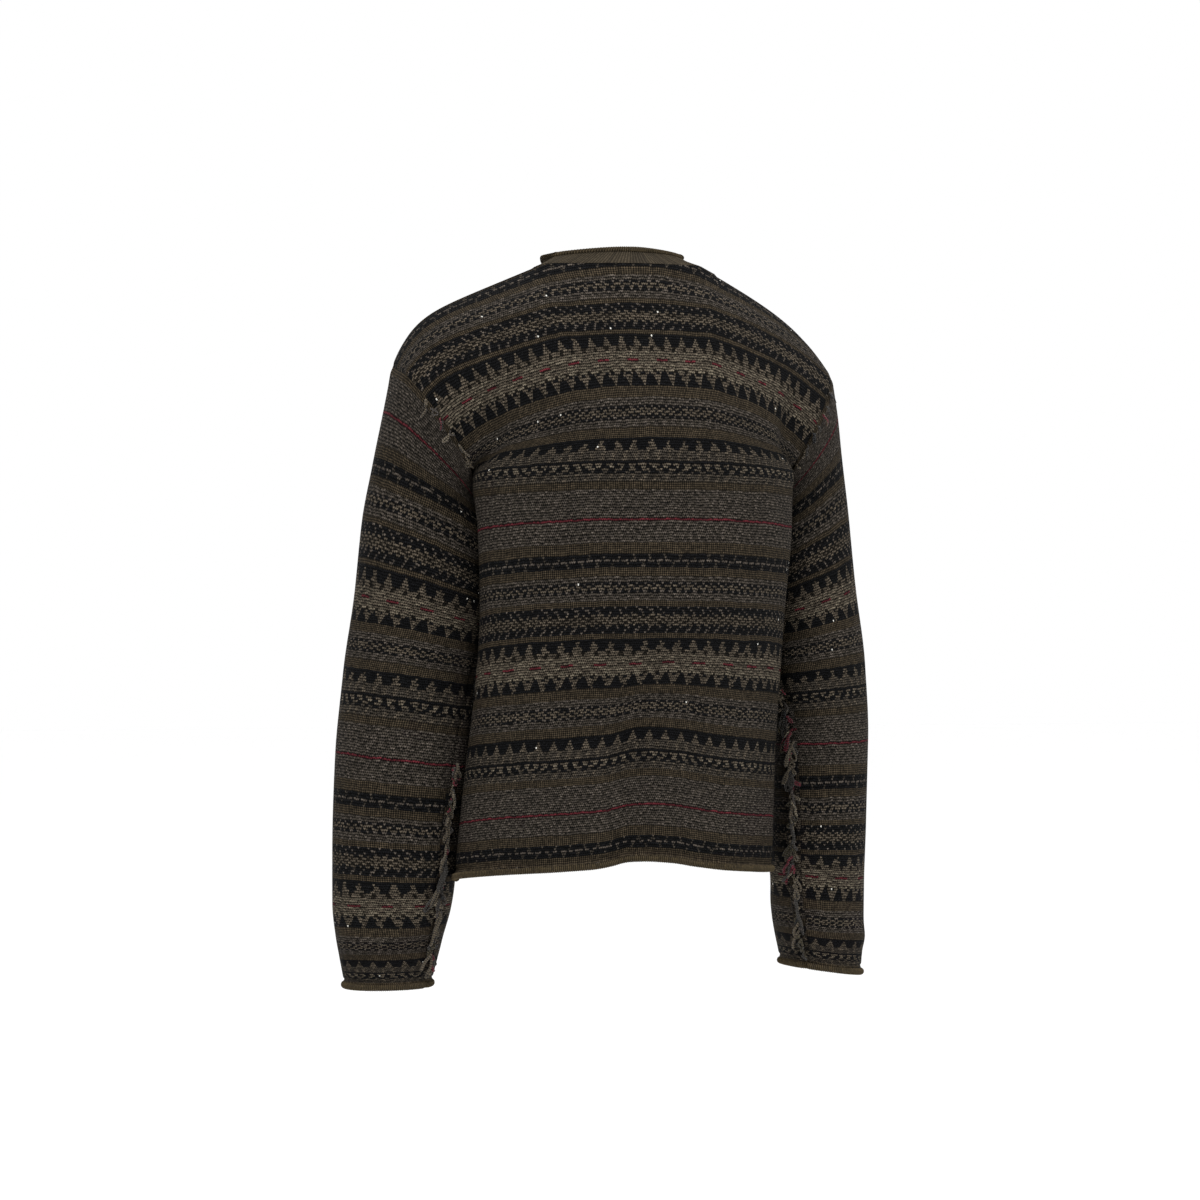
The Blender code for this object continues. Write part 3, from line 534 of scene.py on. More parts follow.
def drawnIn(points):
    gap = clothLook["seamGap"]
    moved = points.copy()
    moved[-1] += unit(points[-1] - points[-2]) * clothLook["runOn"]
    moved[0] += unit(points[1] - points[0]) * gap
    moved[:, 0] += unit(points[:, 1] - points[:, 0]) * gap
    moved[:, -1] += unit(points[:, -2] - points[:, -1]) * gap
    return moved


# places from 0 to 1 that stand closer together near both ends
def closeToEnds(count):
    t = np.linspace(-1, 1, count)
    return (t * (1 + 0.25 * (1 - t * t)) + 1) / 2


def bodyCloth(panel):
    across = 2 * closeToEnds(clothLook["columns"][panel]) - 1
    share = closeToEnds(clothLook["rows"])
    top = neckRows(panel, across)
    rows = top[None, :] + share[:, None] * (bodyLength - top[None, :])
    points = bodyPoints(panel, across, rows)
    out = bodyNormals(panel, across, rows)
    wide = np.broadcast_to(across[None, :], rows.shape)
    nearEdge = np.clip((1 - np.abs(wide)) / clothLook["edgeCalm"], 0, 1)
    height = foldHeight(bodyFolds[panel], wide, rows, bodyFoldRows) * nearEdge
    half = clothLook["halfStitches"][panel]
    fromSide = (1 - np.abs(wide)) * half * clothLook["stitch"]
    fromTop = np.where(np.abs(wide) > neckShare, (rows - top[None, :]) * rowHeight, np.inf)
    fromHem = (bodyLength - rows) * rowHeight
    height = height - seamDip(np.minimum(fromSide, fromTop)) - rollGroove(fromHem)
    points = points + out * height[..., None]
    points[..., 2] += hemSway(panel, wide, rows)
    out = surfaceNormals(points, out)
    nearNeck = np.clip(1 - rows / clothLook["archRows"], 0, 1)
    outward = np.clip(np.abs(wide) / clothLook["archReach"], 0, 1)
    arch = (clothLook["archMiddle"] + clothLook["archSides"] * outward ** 2) * nearNeck ** 2
    piece = np.full(rows.shape, 1.0 if panel == "back" else 2.0)
    marks = np.stack([wide * half, rows + clothLook["bodyStart"] - arch, piece], 2)
    return drawnIn(points), out, marks


cloths = {}
for panel, name in (("back", "BackCloth"), ("front", "FrontCloth")):
    points, out, marks = bodyCloth(panel)
    piece = clothShell(name, points, out, marks)
    cloths[panel] = (piece, points, out)
print("body cloth made")


def sleeveCloth(side):
    columns = clothLook["sleeveColumns"]
    share = closeToEnds(clothLook["sleeveRows"])
    rows = share * sleeveLength
    points, out = sleeve(side, columns, rows)
    points = np.concatenate([points, points[:, :1]], axis=1)
    out = np.concatenate([out, out[:, :1]], axis=1)
    around = np.broadcast_to(np.linspace(0, 1, columns + 1)[None, :], points.shape[:2])
    down = np.broadcast_to(rows[:, None], points.shape[:2])
    girth = np.interp(rows, clothLook["girthRows"], clothLook["girths"])[:, None]
    fromSeam = np.minimum(around, 1 - around) * girth
    dip = seamDip(np.minimum(fromSeam, down * rowHeight)) + rollGroove((sleeveLength - down) * rowHeight)
    points = points - out * dip[..., None]
    stitches = (around - 0.5) * girth / clothLook["stitch"]
    marks = np.stack([stitches, down + clothLook["sleeveStart"], np.full(down.shape, 3.5 + side)], 2)
    return drawnIn(points), out, marks


for side, name in ((1, "LeftSleeveCloth"), (-1, "RightSleeveCloth")):
    points, out, marks = sleeveCloth(side)
    piece = clothShell(name, points, out, marks)
    cloths[side] = (piece, points, out)
print("sleeve cloth made")


# the rolled edges and the neckband
def loopTangent(loop):
    return unit(np.roll(loop, -1, axis=0) - np.roll(loop, 1, axis=0))


def rolledEdge(name, path, up, out, half, turns, sides=12, ridge=0.03, seed=9.0):
    thick, tall = half
    count = len(path)
    vertices = []
    marks = []
    along = np.arange(count) / count
    for k in range(sides):
        angle = 2 * math.pi * k / sides
        grow = 1 + ridge / thick * np.cos(2 * math.pi * along * turns)
        outward = (thick * math.cos(angle) * grow)[:, None]
        upward = (tall * math.sin(angle) * grow)[:, None]
        vertices.append(path + out * outward + up * upward)
        marks.append(np.stack([along * turns, np.full(count, k / sides * 8), np.full(count, seed)], 1))
    vertices = np.concatenate(vertices)
    faces = []
    for k in range(sides):
        for i in range(count):
            j = (i + 1) % count
            m = (k + 1) % sides
            faces.append((k * count + i, k * count + j, m * count + j, m * count + i))
    return makeMesh(name, vertices, faces, np.concatenate(marks))


def rollBelow(name, loop, above, half, turns, seed):
    thick, tall = half
    tangent = loopTangent(loop)
    up = unit(above - loop)
    up = unit(up - tangent * np.sum(up * tangent, axis=1, keepdims=True))
    out = np.cross(up, tangent)
    out *= np.sign(np.sum(out * (loop - loop.mean(axis=0)), axis=1, keepdims=True))
    path = loop - up * (tall - 0.10) - out * (wall / 2 - 0.06)
    return rolledEdge(name, path, up, out, half, turns, seed=seed)


backGrid = cloths["back"][1]
frontGrid = cloths["front"][1]
loop = np.concatenate([backGrid[-1], frontGrid[-1][::-1][1:-1]])
above = np.concatenate([backGrid[-4], frontGrid[-4][::-1][1:-1]])
hemTurns = 460
hemCount = hemTurns * 4


# both lines of points at the same even places round the first
def ringAt(loop, other, count):
    ring = np.concatenate([loop, loop[:1]])
    second = np.concatenate([other, other[:1]])
    length = np.concatenate([[0], np.cumsum(np.linalg.norm(np.diff(ring, axis=0), axis=1))])
    want = np.arange(count) / count * length[-1]
    first = np.stack([np.interp(want, length, ring[:, k]) for k in range(3)], 1)
    second = np.stack([np.interp(want, length, second[:, k]) for k in range(3)], 1)
    return first, second


edge, aboveEdge = ringAt(loop, above, hemCount)
hemRoll = rollBelow("HemRoll", edge, aboveEdge, rollSize["hem"], hemTurns, 9.0)
cuffs = {}
for side, name in ((1, "LeftCuffRoll"), (-1, "RightCuffRoll")):
    grid = cloths[side][1]
    edge, aboveEdge = ringAt(grid[-1][:-1], grid[-4][:-1], 150 * 4)
    cuffs[side] = rollBelow(name, edge, aboveEdge, rollSize["cuff"], 150, 9.5 + side)
print("rolls made")

rear = backGrid[0][np.abs(2 * closeToEnds(clothLook["columns"]["back"]) - 1) <= neckShare + 0.001]
fore = frontGrid[0][np.abs(2 * closeToEnds(clothLook["columns"]["front"]) - 1) <= neckShare + 0.001]


def bandTop(angle):
    b = bandRing
    depth = np.where(np.sin(angle) > 0, b["back"], b["front"])
    endZ = np.where(np.sin(angle) > 0, b["backZ"], b["frontZ"])
    z = b["sideZ"] + (endZ - b["sideZ"]) * np.sin(angle) ** 2
    return np.stack([b["x"] + b["halfWidth"] * np.cos(angle), b["y"] + depth * np.sin(angle), z], 1)


# angle of each point of a half neck edge, from 0 at its first point to a right angle
def quarterTurns(line):
    steps = np.linalg.norm(np.diff(line, axis=0), axis=1)
    return math.pi / 2 * np.concatenate([[0], np.cumsum(steps)]) / steps.sum()


quarter = 64
ribs = dict(count=150, steps=5, ridge=0.022, rows=14, lean=0.11, sideTurn=0.44, rollOut=0.06, rollUp=0.16)
rear = even(rear, np.linspace(0, 1, 2 * quarter + 1))
fore = even(fore, np.linspace(0, 1, 2 * quarter + 1))
base = np.concatenate([rear, fore[::-1][1:-1]])
angles = np.concatenate([
    math.pi - quarterTurns(rear[:quarter + 1]),
    quarterTurns(rear[quarter:][::-1])[::-1][1:],
    -quarterTurns(fore[quarter:][::-1])[1:],
    quarterTurns(fore[:quarter + 1])[::-1][1:-1] - math.pi,
])
angles = angles + ribs["lean"] * np.sin(angles) + ribs["sideTurn"] * np.cos(angles)
ribCount = ribs["count"] * ribs["steps"]
base, high = ringAt(base, bandTop(angles), ribCount)
climb = unit(high - base)
away = np.cross(loopTangent(base) + loopTangent(high), climb)
middle = np.array([neckX, ridgeY, 0.0])
away = unit(away) * np.sign(np.sum(away * (base - middle), axis=1, keepdims=True))
for _ in range(60):
    away = unit(away + 0.5 * (np.roll(away, 1, axis=0) + np.roll(away, -1, axis=0)))
    away = unit(away - climb * np.sum(away * climb, axis=1, keepdims=True))
low = base + climb * bandClear
vertices = []
marks = []
along = np.arange(ribCount) / ribCount * ribs["count"]
ridge = ribs["ridge"] * np.cos(2 * math.pi * along)
shareUp = np.linspace(0, 1, ribs["rows"])
for share, depth in [(share, 0) for share in shareUp] + [(share, bandWall) for share in shareUp[::-1]]:
    sink = bandHollow * 4 * share * (1 - share) + depth
    vertices.append(low + (high - low) * share - away * sink + away * ridge[:, None])
    marks.append(np.stack([along, np.full(ribCount, share * ribs["rows"]), np.full(ribCount, 12.0)], 1))
faces = []
rings = len(vertices)
for k in range(rings):
    for i in range(ribCount):
        j = (i + 1) % ribCount
        m = (k + 1) % rings
        faces.append((k * ribCount + i, k * ribCount + j, m * ribCount + j, m * ribCount + i))
neckRib = makeMesh("NeckRib", np.concatenate(vertices), faces, np.concatenate(marks))
path = high + away * ribs["rollOut"] + climb * ribs["rollUp"]
neckRoll = rolledEdge("NeckRoll", path, climb, away, rollSize["neck"], ribs["count"], seed=13.0)
print("neckband made")


# seam allowances left outside: rolled raw edges down the sleeve seams, and yarn ends in loops and tails
curlLook = {
    (1, 1): dict(rows=(176, 292), radius=(0.14, 0.24), reach=(0.5, 1.0), seed=3, thick=0.15, rise=70),
    (1, -1): dict(rows=(180, 290), radius=(0.16, 0.28), reach=(0.6, 1.2), seed=5, thick=0.15, rise=80),
    (-1, 1): dict(rows=(140, 290), radius=(0.20, 0.32), reach=(0.8, 1.4), seed=8, thick=0.17, rise=70),
    (-1, -1): dict(rows=(120, 292), radius=(0.26, 0.42), reach=(1.2, 2.1), seed=12, thick=0.17, rise=88),
}
# points along the seam and round the roll, how far a curl starts off the cloth and how its ends shrink
curlForm = dict(along=320, across=12, lift=0.08, endSteps=12, endShare=0.15)


# slow uneven values between two limits
def wavering(count, lowest, highest, seed, knots=22):
    dice = np.random.RandomState(seed)
    marks = dice.uniform(lowest, highest, knots)
    return cubic(np.linspace(0, 1, knots), marks[:, None], np.linspace(0, 1, count))[:, 0]


def seamCurl(name, side, way):
    look = curlLook[side, way]
    count, steps = curlForm["along"], curlForm["across"]
    rows = np.linspace(*look["rows"], count)
    grid, normals = sleeve(side, 120, rows)
    seam = grid[:, 0]
    out = normals[:, 0]
    over = unit(grid[:, 1] - grid[:, -1]) * way
    over = unit(over - out * np.sum(over * out, axis=1, keepdims=True))
    radius = wavering(count, *look["radius"], look["seed"])
    reach = wavering(count, *look["reach"], look["seed"] + 1, 40)
    toEnd = np.minimum(np.arange(count), count - 1 - np.arange(count))
    ends = np.clip(toEnd / curlForm["endSteps"], curlForm["endShare"], 1)
    reach = reach * ends
    share = np.linspace(0, 1, steps)
    start = math.radians(look["rise"])
    points = np.zeros((count, steps, 3))
    facing = np.zeros((count, steps, 3))
    spot = seam + out * curlForm["lift"]
    for k in range(steps):
        angle = start - share[k] * reach / radius
        if k:
            middle = start - (share[k] + share[k - 1]) / 2 * reach / radius
            step = (reach * (share[k] - share[k - 1]))[:, None]
            spot = spot + step * (over * np.cos(middle)[:, None] + out * np.sin(middle)[:, None])
        points[:, k] = spot
        facing[:, k] = out * np.cos(angle)[:, None] - over * np.sin(angle)[:, None]
    across = share[None, :] * reach[:, None] / clothLook["stitch"]
    down = np.broadcast_to(rows[:, None], across.shape)
    firstLine = clothLook["sleeveStart"] + look["seed"]
    marks = np.stack([across, down + firstLine, np.full(down.shape, 15.0 + side + 4 * way)], 2)
    return clothShell(name, points + facing * look["thick"] / 2, facing, marks, look["thick"])


curls = {}
for side, word in ((1, "Left"), (-1, "Right")):
    curls[side] = [seamCurl(word + "RearCurl", side, 1), seamCurl(word + "InnerCurl", side, -1)]

yarnLook = dict(
    radius=0.145,
    step=0.12,
    twist=0.45,             # length of one turn of the ply
    sides=8,
    share=0.55,             # share of a tuft's yarns that are laid
    highest=-13.0,          # no yarn lies higher on an armhole
    spread=0.7,             # a tuft's yarns start within this height of it
    sameTone=0.65,
    armhole=0.72,           # share of the radius for armhole yarns and for stray ends
    stray=0.75,
    looped=0.35,            # share of the stray ends that are loops
    strayLength=(0.35, 1.1),
    strayRise=(0.12, 0.32),
    strayLean=(-0.5, 0.5),
    tuftTones=(0, 0, 1, 2, 3, 5),
    strayTones=(0, 0, 0, 1, 2, 2, 3, 4, 5, 6),
)
tones = ("tan", "cream", "grey", "mauve", "red", "olive", "ink", "brown")

# Tufts of loose yarn: height on the seam, yarns in the tuft, length, sideways lean, how far it stands off,
# tone (a place in the list of tones) and whether its yarns are tails or loops
# height, yarns, length, lean, rise, tone, shape
tufts = {
    "LeftArmhole": (
        (-14.4, 2, 2.6, 0.5, 0.30, 0, "tail"),
        (-16.2, 2, 1.7, 0.3, 0.30, 4, "tail"),
        (-18.2, 2, 1.1, 0.6, 0.35, 2, "loop"),
        (-19.7, 4, 1.7, -0.7, 0.30, 0, "tail"),
    ),
    "RightArmhole": (
        (-13.4, 2, 1.2, -0.7, 0.30, 6, "loop"),
        (-15.4, 2, 1.5, -0.8, 0.30, 4, "tail"),
        (-16.2, 2, 1.4, -0.4, 0.30, 0, "tail"),
        (-18.6, 2, 1.6, 0.3, 0.30, 2, "tail"),
    ),
    "LeftSleeve": (
        (-51.8, 3, 2.1, 0.1, 0.30, 0, "tail"),
        (-53.6, 4, 1.3, -0.4, 0.34, 4, "loop"),
        (-55.0, 5, 2.3, 0.2, 0.34, 2, "tail"),
        (-57.2, 4, 1.7, -0.2, 0.36, 0, "loop"),
        (-59.2, 5, 2.8, 0.3, 0.38, 0, "tail"),
        (-61.4, 5, 3.0, 0.9, 0.40, 0, "tail"),
        (-63.0, 6, 4.0, 0.3, 0.40, 2, "tail"),
        (-65.2, 4, 2.9, 1.1, 0.45, 4, "loop"),
        (-66.6, 5, 1.8, -0.2, 0.40, 3, "loop"),
        (-68.0, 5, 3.9, 0.4, 0.40, 0, "tail"),
        (-71.4, 5, 2.2, 0.3, 0.36, 5, "tail"),
        (-73.0, 4, 2.6, 1.0, 0.36, 0, "tail"),
    ),
    "RightSleeve": (
        (-45.6, 4, 1.6, 0.3, 0.40, 0, "tail"),
        (-47.4, 5, 2.4, 0.7, 0.45, 2, "loop"),
        (-49.8, 6, 2.6, 0.6, 0.50, 4, "loop"),
        (-50.6, 4, 2.6, 0.1, 0.45, 0, "loop"),
        (-53.4, 6, 2.2, 0.5, 0.50, 2, "loop"),
        (-56.4, 3, 1.8, -0.4, 0.45, 3, "tail"),
        (-57.4, 6, 4.2, 0.4, 0.50, 0, "tail"),
        (-59.6, 4, 3.0, -0.3, 0.50, 2, "tail"),
        (-61.6, 5, 1.8, 0.6, 0.50, 5, "loop"),
        (-63.6, 6, 2.2, 0.8, 0.50, 4, "tail"),
        (-65.6, 4, 1.8, -0.3, 0.50, 0, "loop"),
        (-67.4, 5, 4.6, -0.5, 0.50, 2, "tail"),
        (-70.6, 4, 2.2, 0.4, 0.45, 0, "tail"),
        (-72.0, 3, 1.6, 0.1, 0.40, 5, "tail"),
    ),
}
# how many stray ends each seam has, and the seed that lays them
strayEnds = {
    "LeftArmhole": (20, 11),
    "RightArmhole": (20, 12),
    "LeftSleeve": (40, 13),
    "RightSleeve": (48, 14),
}
# how far off the seam its yarns start
standing = {"LeftArmhole": 0.05, "RightArmhole": 0.05, "LeftSleeve": 0.30, "RightSleeve": 0.48}


# a two-ply yarn: its section is two lobes that turn along its length
def strand(vertices, faces, marks, line, radius, tone, seed):
    length = np.linalg.norm(np.diff(line, axis=0), axis=1).sum()
    count = max(4, int(length / yarnLook["step"]))
    line = even(line, np.linspace(0, 1, count))
    tangent = unit(np.gradient(line, axis=0))
    sideA = unit(np.cross(tangent, np.array([0.3, 0.2, 0.93])))
    sideB = np.cross(tangent, sideA)
    sides = yarnLook["sides"]
    start = len(vertices)
    for i in range(count):
        turn = i * yarnLook["step"] * 2 * math.pi / yarnLook["twist"]
        close = 1.0 if 0 < i < count - 1 else 0.55
        for k in range(sides):
            angle = 2 * math.pi * k / sides
            lobe = radius * close * (0.74 + 0.42 * abs(math.cos(angle)))
            onA = sideA[i] * lobe * math.cos(angle + turn)
            onB = sideB[i] * lobe * math.sin(angle + turn)
            vertices.append(line[i] + onA + onB)
            marks.append((i * yarnLook["step"] / yarnLook["twist"], tone, seed))
    for i in range(count - 1):
        for k in range(sides):
            a = start + i * sides + k
            b = start + i * sides + (k + 1) % sides
            faces.append((a, b, b + sides, a + sides))
    faces.append(tuple(start + k for k in range(sides))[::-1])
    faces.append(tuple(start + (count - 1) * sides + k for k in range(sides)))


def yarnLine(start, out, down, sideWay, length, rise, lean, shape, dice):
    t = np.linspace(0, 1, 26)[:, None]
    sway = dice.uniform(-0.65, 0.65)
    wave = dice.uniform(-0.28, 0.28) * np.sin(t * dice.uniform(6, 11))
    if shape == "loop":
        width = dice.uniform(0.35, 0.95)
        drop = length * np.sin(math.pi * t) ** 1.2
        lift = rise * np.sin(math.pi * t)
        aside = (lean + sway) * np.sin(math.pi * t)
        aside = aside + width * np.sin(2 * math.pi * t) * 0.6 + width * (t - 0.5)
    else:
        drop = length * t ** 1.4
        lift = rise * np.sin(np.minimum(t * 2.4, 1) * math.pi / 2) * (1 + 0.25 * np.sin(t * 9 + sway * 20))
        aside = (lean + sway) * t ** 1.2 + wave * t
    return start + out * (lift - 0.05 * drop ** 2) + down * drop + sideWay * aside


def seamYarn(name, key, path, out, seed):
    vertices, faces, marks = [], [], []
    dice = np.random.RandomState(seed)
    length = np.concatenate([[0], np.cumsum(np.linalg.norm(np.diff(path, axis=0), axis=1))])
    length = length / length[-1]
    rear = slice(0, int(np.argmax(path[:, 2])) + 1 if "Armhole" in key else len(path))
    order = np.argsort(path[rear, 2])

    def lay(place, long, rise, lean, shape, radius, tone):
        start = even(path, [place])[0]
        normal = unit(np.array([np.interp(place, length, out[:, k]) for k in range(3)]))
        fall = np.array([0, 0, -1.0])
        down = unit(fall - normal * (fall @ normal))
        start = start + normal * standing[key] * dice.uniform(0.5, 1.1)
        if "Armhole" in key and start[2] > yarnLook["highest"]:
            return
        line = yarnLine(start, normal, down, np.cross(down, normal), long, rise, lean, shape, dice)
        strand(vertices, faces, marks, line, radius, tone, seed + len(marks) % 97)

    for height, yarns, long, lean, rise, tone, shape in tufts[key]:
        for k in range(max(1, round(yarns * yarnLook["share"]))):
            z = height + dice.uniform(-yarnLook["spread"], yarnLook["spread"])
            place = np.interp(z, path[rear, 2][order], length[rear][order])
            same = dice.uniform() < yarnLook["sameTone"]
            mixedTone = tone if same else dice.choice(yarnLook["tuftTones"])
            size = yarnLook["radius"] * dice.uniform(0.8, 1.2)
            size = size * (yarnLook["armhole"] if "Armhole" in key else 1.0)
            ownLength = long * dice.uniform(0.65, 1.1)
            ownRise = rise * dice.uniform(0.6, 1.0)
            ownLean = lean * dice.uniform(0.6, 1.3)
            lay(place, ownLength, ownRise, ownLean, shape, size, mixedTone)
    count, strays = strayEnds[key]
    dice = np.random.RandomState(strays)
    for k in range(count):
        place = (k + dice.uniform(0.1, 0.9)) / count
        shape = "loop" if dice.uniform() < yarnLook["looped"] else "tail"
        tone = dice.choice(yarnLook["strayTones"])
        limits = [yarnLook[name] for name in ("strayLength", "strayRise", "strayLean")]
        long, rise, lean = (dice.uniform(*pair) for pair in limits)
        lay(place, long, rise, lean, shape, yarnLook["radius"] * yarnLook["stray"], tone)
    return makeMesh(name, vertices, faces, marks)


# along the armhole seam from low on the back, over the shoulder, to low on the front
def armholePath(side):
    path = []
    out = []
    share = np.linspace(0, 1, 25)
    for panel, shares in (("back", share[::-1]), ("front", share[1:])):
        rows = shares * armRows * 0.74
        path.append(armholeLine(side, panel, rows))
        onBody = bodyNormals(panel, np.full(len(rows), float(side)), rows[None, :])[0]
        around = 0.5 + (rows if panel == "front" else -rows) / armRows / 2
        ring, ringOut = sleeveAt(side, around, np.array([0, 3, 6.0]))
        out.append(unit(unit(onBody) + ringOut[0]))
    return np.concatenate(path), unit(np.concatenate(out))


# a sleeve's plain points at these places round it, and its outward directions
def sleeveAt(side, around, rows):
    small = 0.01
    grids = []
    for shift in (-small, small, 0):
        knots, keys = sleeveKeys(side, (around + shift) % 1)
        grids.append(np.stack([cubic(knots, keys[:, j], rows) for j in range(len(around))], axis=1))
    out = unit(np.cross(grids[1] - grids[0], np.gradient(grids[2], axis=0))) * side
    return grids[2], out


yarns = {}
for side, word in ((1, "Left"), (-1, "Right")):
    path, out = armholePath(side)
    yarns[word + "Armhole"] = seamYarn(word + "ArmholeYarn", word + "Armhole", path, out, 40 + side)
    rows = np.linspace(*((166, 294) if side > 0 else (134, 294)), 80)
    seam, seamOut = sleeve(side, 60, rows)
    key = word + "Sleeve"
    yarns[key] = seamYarn(key + "Yarn", key, seam[:, 0], seamOut[:, 0], 60 + side)
print("yarn ends made")


# finishes
def linear(red, green, blue):
    tone = [c / 255 for c in (red, green, blue)]
    return tuple(c / 12.92 if c <= 0.04045 else ((c + 0.055) / 1.055) ** 2.4 for c in tone) + (1.0,)


def operator(operation, reflected=False):
    if reflected:
        return lambda wire, other: wire.maths(operation, other, wire)
    return lambda wire, other: wire.maths(operation, wire, other)


class Wire:
    def __init__(self, finish, socket):
        self.finish = finish
        self.socket = socket

    def maths(self, operation, *values):
        return self.finish.maths(operation, *values)

    __add__ = operator("ADD")
    __radd__ = operator("ADD", True)
    __sub__ = operator("SUBTRACT")
    __rsub__ = operator("SUBTRACT", True)
    __mul__ = operator("MULTIPLY")
    __rmul__ = operator("MULTIPLY", True)
    __truediv__ = operator("DIVIDE")
    __pow__ = operator("POWER")
    __mod__ = operator("FLOORED_MODULO")
    __gt__ = operator("GREATER_THAN")
    __lt__ = operator("LESS_THAN")

    def __abs__(self):
        return self.maths("ABSOLUTE", self)

    def floor(self):
        return self.maths("FLOOR", self)

    def wave(self):
        return self.maths("COSINE", self * (2 * math.pi))

    def clamped(self):
        return self.maths("MAXIMUM", self.maths("MINIMUM", self, 1.0), 0.0)


class Finish:
    def __init__(self, name, **fixed):
        self.material = bpy.data.materials.new(name)
        self.material.use_nodes = True
        self.nodes = self.material.node_tree.nodes
        self.links = self.material.node_tree.links
        self.shader = self.nodes["Principled BSDF"]
        for socket, value in fixed.items():
            self.shader.inputs[socket].default_value = value

    def add(self, kind, settings=None, sockets=None):
        node = self.nodes.new(kind)
        for name, value in (settings or {}).items():
            if name == "stops":
                ramp = node.color_ramp
                last = len(value) - 1
                for k, (place, tone) in enumerate(value):
                    stop = ramp.elements.new(place) if 0 < k < last else ramp.elements[0 if k < 1 else -1]
                    stop.position = place
                    stop.color = tone
            elif name == "steps":
                node.color_ramp.interpolation = value
            else:
                setattr(node, name, value)
        for name, value in (sockets or {}).items():
            self.join(node.inputs[name], value)
        return node

    def join(self, socket, value):
        if isinstance(value, Wire):
            self.links.new(value.socket, socket)
        else:
            socket.default_value = value

    def wire(self, node, output=0):
        return Wire(self, node.outputs[output])

    def maths(self, operation, *values):
        return self.wire(self.add("ShaderNodeMath", {"operation": operation}, dict(enumerate(values))))

    def mixed(self, factor, a, b, blend="MIX"):
        settings = {"data_type": "RGBA", "blend_type": blend}
        return self.wire(self.add("ShaderNodeMix", settings, {0: factor, 6: a, 7: b}), 2)

    def chosen(self, factor, a, b):
        return self.wire(self.add("ShaderNodeMix", {"data_type": "FLOAT"}, {0: factor, 2: a, 3: b}))

    def ramp(self, value, stops, steps="CONSTANT"):
        node = self.add("ShaderNodeValToRGB", {"stops": stops, "steps": steps}, {0: value})
        return self.wire(node, 0), self.wire(node, 1)

    def parts(self, vector):
        node = self.add("ShaderNodeSeparateXYZ", None, {0: vector})
        return [self.wire(node, k) for k in range(3)]

    def vector(self, x, y, z):
        return self.wire(self.add("ShaderNodeCombineXYZ", None, {0: x, 1: y, 2: z}))

    def speckle(self, x, y, z):
        sockets = {"Vector": self.vector(x, y, z)}
        return self.wire(self.add("ShaderNodeTexWhiteNoise", {"noise_dimensions": "3D"}, sockets))

    def cloud(self, x, y, z, scale, detail=2.0):
        sockets = {"Vector": self.vector(x, y, z), "Scale": scale, "Detail": detail}
        return self.wire(self.add("ShaderNodeTexNoise", None, sockets))

    def shade(self, colour, amount):
        grey = self.wire(self.add("ShaderNodeCombineColor", None, {0: amount, 1: amount, 2: amount}))
        return self.mixed(1.0, colour, grey, "MULTIPLY")

    def finish(self, colour, height, distance, rough):
        bump = self.add("ShaderNodeBump", None, {"Strength": 1.0, "Distance": distance, "Height": height})
        self.join(self.shader.inputs["Normal"], self.wire(bump))
        self.join(self.shader.inputs["Base Color"], colour)
        self.join(self.shader.inputs["Roughness"], rough)
        return self.material


yarnColours = dict(
    ink=(9, 9, 10),
    olive=(50, 43, 33),
    brown=(19, 16, 12),
    mauve=(55, 50, 45),
    grey=(42, 38, 33),
    tan=(58, 52, 44),
    cream=(72, 66, 56),
    red=(58, 20, 24),
)
colourNames = list(yarnColours)

